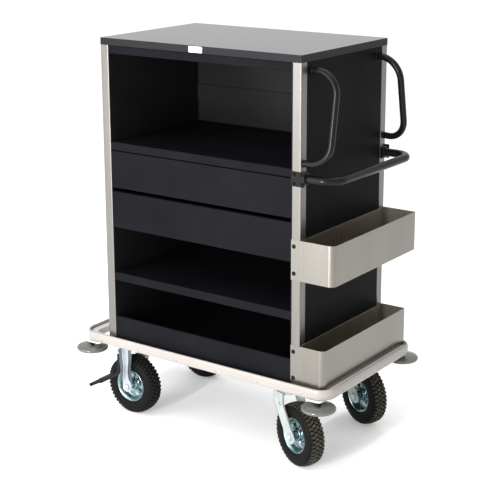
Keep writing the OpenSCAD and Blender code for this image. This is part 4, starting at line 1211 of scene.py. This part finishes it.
def bin_wall(low, high):
    """The plan of the wall's middle line: cabinet side, round front corner and tight rear one."""
    x0, x1 = CABINET_END + BIN_SHEET / 2, high.x - BIN_SHEET / 2
    y0, y1 = low.y + BIN_SHEET / 2, high.y - BIN_SHEET / 2
    front = arc((x1 - BEND, y0 + BEND), BEND, -90, 0, 12)
    rear = arc((x1 - TIGHT_BEND, y1 - TIGHT_BEND), TIGHT_BEND, 0, 90, 4)
    return np.concatenate([[(x0, y0)], front, rear, [(x0, y1)]])


def side_bin(node):
    """The wall's section, square below and round along its top, carried round the plan; a floor and a flat
    front wall that runs on over the post."""
    low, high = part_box(node)
    plan = bin_wall(low, high)
    tall, wall_r = high.z - low.z, BIN_SHEET / 2
    crest = arc((0, tall / 2 - wall_r), wall_r, 0, 180, 6)
    wall = np.concatenate([[(-wall_r, -tall / 2), (wall_r, -tall / 2)], crest])
    wall_part = sweep(wall, at_height(plan, (low.z + high.z) / 2), closed=True)
    floor = prism(plan, low.z + 0.4 * MM, low.z + 1.6 * MM)
    tongue = block((CABINET_END - POST, low.y - 0.05 * MM, low.z),
                   (high.x - BEND, low.y + BIN_SHEET, high.z))
    return join(wall_part, floor, tongue)


def inward_faces(mesh, middle_x, middle_y):
    """True for each face that looks towards the bin's middle line."""
    centres = np.empty(3 * len(mesh.polygons))
    normals = np.empty(3 * len(mesh.polygons))
    mesh.polygons.foreach_get("center", centres)
    mesh.polygons.foreach_get("normal", normals)
    across = centres.reshape(-1, 3)[:, :2] - [middle_x, middle_y]
    return np.sum(across * normals.reshape(-1, 3)[:, :2], 1) < -1e-4


for level in ("upper", "lower"):
    low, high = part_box(f"{level}_bin")
    made = piece(f"{level}_bin_bent", side_bin(f"{level}_bin"), bin_steel, "cart",
                 [f"{level}_bin"], sharp=30)
    made.data.materials.append(bin_inside_painted_light)
    inside = inward_faces(made.data, (CABINET_END + high.x) / 2, (low.y + high.y) / 2)
    made.data.polygons.foreach_set("material_index", inside.astype(np.int32))
print("bins: 2")

# %% [markdown]
# The bins and the inner parts are held by dome screws. The ones through the bins' front walls are large
# black heads; the same head serves inside, where they hold the side skins and the back.

# %% Screws of the cabinet
def dome_head(radius, height):
    """A dome from its rim to the crown, with a small round dimple for the driver."""
    t = np.radians(np.linspace(0, 80, 8))
    rows = np.concatenate([[(0.1 * MM, -height), (radius, -height)],
                           np.column_stack([radius * np.cos(t), height * np.sin(t)]),
                           [(0.3 * radius, height * 0.55), (0.1 * MM, height * 0.5)]])
    return lathe(rows, 24)


BIN_SCREW_IN, BIN_SCREW_UP = 10 * MM, 21 * MM
heads = []
large = dome_head(7.0 * MM, 3.4 * MM)
small = dome_head(4.0 * MM, 2.2 * MM)
for level in ("upper", "lower"):
    low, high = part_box(f"{level}_bin")
    for z in (low.z + BIN_SCREW_UP, high.z - BIN_SCREW_UP):
        heads.append(moved(pointing(large, "-y"), (low.x + BIN_SCREW_IN, low.y, z)))
inner_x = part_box("right_inner_panel")[0].x - MIDDLE_X
inner_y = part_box("cabinet_screws")[1].y
for y in (35 * MM - HALF_D, HALF_D - POST - 94 * MM):
    for z in (deck_top + 91 * MM, deck_top + 138 * MM):
        heads += [moved(pointing(small, "-x"), (MIDDLE_X + inner_x, y, z)),
                  moved(pointing(small, "+x"), (MIDDLE_X - inner_x, y, z))]
for share, up in ((-0.8, 69 * MM), (0.8, 69 * MM), (0.08, 29 * MM)):
    heads.append(moved(pointing(small, "-y"), (MIDDLE_X + share * inner_x, inner_y, deck_top + up)))
piece("cabinet_dome_screws", join(*heads), screw_black, "cart", ["cabinet_screws"])
print("cabinet screws:", len(heads))

# %% [markdown]
# ## Foot brakes
# The brake lever is a pair of flat bars bent at the elbow, joined by a shoe that presses the tyre and by
# the pedal. A bar is a small rounded rectangle carried along a smooth line from the pivot round the
# elbow to the pedal.

# %% Brake levers
brake_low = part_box("front_brake_lever")[0]
BAR_T, BAR_W = 5 * MM, 12 * MM
PIVOT_X = -29 * MM
PIVOT = np.array([PIVOT_X, CROWN - 8 * MM])
ELBOW = np.array([PIVOT_X, AXLE_Z + 44 * MM])
PEDAL = np.array([brake_low.x + BAR_W / 2 - CASTER_LEFT, brake_low.z + BAR_W / 2])
ARM_Y = 45.5 * MM + BAR_T / 2
SHOE_GAP, SHOE_T, SHOE_H = 14 * MM, 10 * MM, 16 * MM
SHOE_X = -(AXLE_Z + SHOE_GAP + SHOE_T / 2)


def lever_line(steps=8):
    """Straight from the pivot to the elbow and on to the pedal, with the elbow rounded by a smooth bend."""
    u, v = PIVOT - ELBOW, PEDAL - ELBOW
    u, v = u / np.linalg.norm(u), v / np.linalg.norm(v)
    t = np.linspace(0, 1, steps)[:, None]
    corner = ELBOW + 16 * MM * ((1 - t) ** 2 * u + t**2 * v)
    return np.concatenate([[PIVOT], corner, [PEDAL]])


def brake_lever():
    """Two arms, each a bar along the lever's line with a boss at its pivot, the shoe and the pedal's bar."""
    flat = lever_line()
    arms = []
    boss = turned_y([(0.2, -3), (7.5, -3), (7.5, 2.2), (6.5, 3), (0.2, 3)])
    for s in (-1, 1):
        line = np.column_stack([flat[:, 0], np.full(len(flat), s * ARM_Y), flat[:, 1]])
        arms.append(sweep(round_square(BAR_W, BAR_T, 1.2 * MM), line, up=(0, 1, 0)))
        arms.append(moved(boss, (PIVOT[0], s * ARM_Y, PIVOT[1])))
    shoe_z = PEDAL[1] + (ELBOW[1] - PEDAL[1]) * (PEDAL[0] - SHOE_X) / (PEDAL[0] - ELBOW[0])
    shoe = block((SHOE_X - SHOE_T / 2, -ARM_Y, shoe_z - SHOE_H / 2),
                 (SHOE_X + SHOE_T / 2, ARM_Y, shoe_z + SHOE_H / 2))
    ends = (-ARM_Y - BAR_T / 2, ARM_Y + BAR_T / 2)
    pedal = sweep(circle(BAR_W / 2, 20), [(PEDAL[0], y, PEDAL[1]) for y in ends])
    return join(*arms, shoe, pedal)


lever = brake_lever()
for side, sign in SIDES.items():
    piece(f"{side}_brake_bars", moved(lever, (CASTER_LEFT, sign * CASTER_Y, 0)), handle_black,
          f"{side}_brake", [f"{side}_brake_lever"], bevel=0.6 * MM)
print("brake levers:", len(lever[1]), "faces each")

# %% [markdown]
# A small plate is fixed to the slab's edge. It is left blank: a thin plate whose edge steps in towards
# its face, made as a few outlines of the same shape at rising heights.

# %% The blank label
label_low, label_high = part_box("label_plate")
across, tall = (label_high.x - label_low.x) / 2, (label_high.z - label_low.z) / 2
outline = round_square(2 * across, 2 * tall, 1.5 * MM)
scale_and_height = [(1.0, 0.0), (1.0, 0.8), (0.985, 1.0), (0.955, 1.0), (0.945, 0.7)]
levels = [at_height(outline * share, up * MM) for share, up in scale_and_height]
label = (np.concatenate(levels), capped(len(levels), len(outline)))
label_place = (MIDDLE_X, label_high.y, (label_low.z + label_high.z) / 2)
piece("blank_label_plate", moved(pointing(label, "-y"), label_place), label_metal, "cart",
      ["label_plate"])
print("label:", round(2 * across, 3), "by", round(2 * tall, 3))

# %% [markdown]
# ## Floor, light and camera
# A cart is shown best on a plain pale floor that runs out of sight. The floor gives a little light of
# its own, so that it stays pale under the cart without lamps that would flatten the metal.

# %% World and floor
world = bpy.data.worlds.new("studio")
bpy.context.scene.world = world
world.use_nodes = True
world.node_tree.nodes["Background"].inputs["Color"].default_value = (1.0, 1.0, 1.0, 1)
world.node_tree.nodes["Background"].inputs["Strength"].default_value = 0.9

floor_finish = grained("pale_floor", (0.93, 0.93, 0.93), (0.96, 0.96, 0.96), 0.0, (0.8, 0.9), 3.0,
                       strength=0.02, gloss=0.1)
floor_shader = floor_finish.node_tree.nodes["Principled BSDF"]
floor_shader.inputs["Emission Color"].default_value = (1.0, 1.0, 1.0, 1)
floor_shader.inputs["Emission Strength"].default_value = 0.19
FLOOR_REACH = 40
floor_mesh = bpy.data.meshes.new("studio_floor")
floor_corners = [(-FLOOR_REACH, -FLOOR_REACH), (FLOOR_REACH, -FLOOR_REACH),
                 (FLOOR_REACH, FLOOR_REACH), (-FLOOR_REACH, FLOOR_REACH)]
floor_mesh.from_pydata([(x, y, 0) for x, y in floor_corners], [], [[0, 1, 2, 3]])
floor_mesh.materials.append(floor_finish)
floor = bpy.data.objects.new("studio_floor", floor_mesh)
bpy.context.scene.collection.objects.link(floor)
floor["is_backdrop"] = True
print("floor:", 2 * FLOOR_REACH, "metres square")

# %% [markdown]
# Brushed steel and black paint only show what they reflect, so every lamp is a soft panel. A large one
# stands in front to the left and a wide one hangs over the floor before the cart, to light the fronts. A
# tall narrow strip straight ahead draws the bright line down each bend, and a weak panel hangs overhead.

# %% Lights
def panel_light(name, place, target, size, power):
    """A rectangle of soft light at a place, facing a target."""
    lamp = bpy.data.lights.new(name, "AREA")
    lamp.shape = "RECTANGLE"
    lamp.size, lamp.size_y = size
    lamp.energy = power
    held = bpy.data.objects.new(name, lamp)
    held.location = place
    held.rotation_euler = (Vector(target) - Vector(place)).to_track_quat("-Z", "Y").to_euler()
    bpy.context.scene.collection.objects.link(held)


panel_light("front_left_panel", (-2.7, -5.2, 1.5), (0.1, 0, 0.4), (2.4, 2.6), 92)
panel_light("front_floor_panel", (-1.5, -2.7, 2.6), (-1.5, -2.4, 0), (3.2, 3.2), 52)
panel_light("front_window_strip", (0.3, -4.8, 1.2), (0.3, 0, 0.6), (0.22, 2.2), 250)
panel_light("overhead_panel", (0, 0.6, 3.6), (0, 0, 1.0), (3.0, 3.0), 30)
bpy.context.scene.view_settings.view_transform = "Standard"
print("lights:", len(bpy.data.lights))

# %% [markdown]
# The camera stands a little over four metres away at the front right, half a metre above the slab, and
# looks down. Its direction is given by three angles: yaw turns it about Z, pitch tips it down, and roll
# levels the picture. A long lens keeps the cart's upright lines nearly parallel.

# %% Camera
YAW, PITCH, ROLL = (math.radians(v) for v in (35.684, -14.007, -0.219))
lens = bpy.data.cameras.new("camera")
camera = bpy.data.objects.new("camera", lens)
bpy.context.scene.collection.objects.link(camera)
camera.location = (2.3913, -3.3511, 1.7966)
forward = np.array([-math.sin(YAW) * math.cos(PITCH), math.cos(YAW) * math.cos(PITCH), math.sin(PITCH)])
level = np.array([math.cos(YAW), math.sin(YAW), 0.0])
upright = np.cross(level, forward)
right = level * math.cos(ROLL) + upright * math.sin(ROLL)
above = upright * math.cos(ROLL) - level * math.sin(ROLL)
camera.rotation_euler = Matrix(np.column_stack([right, above, -forward]).tolist()).to_euler()
lens.sensor_width = 36
lens.lens = 92.44
lens.shift_x = 0.0176
lens.shift_y = -0.1062
bpy.context.scene.camera = camera
print("camera at", tuple(round(v, 2) for v in camera.location))

# %% [markdown]
# ## Measure and finish
# The finished cart has to be the size that was designed, so its box is measured.

# %% Measure the finished cart
low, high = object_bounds()
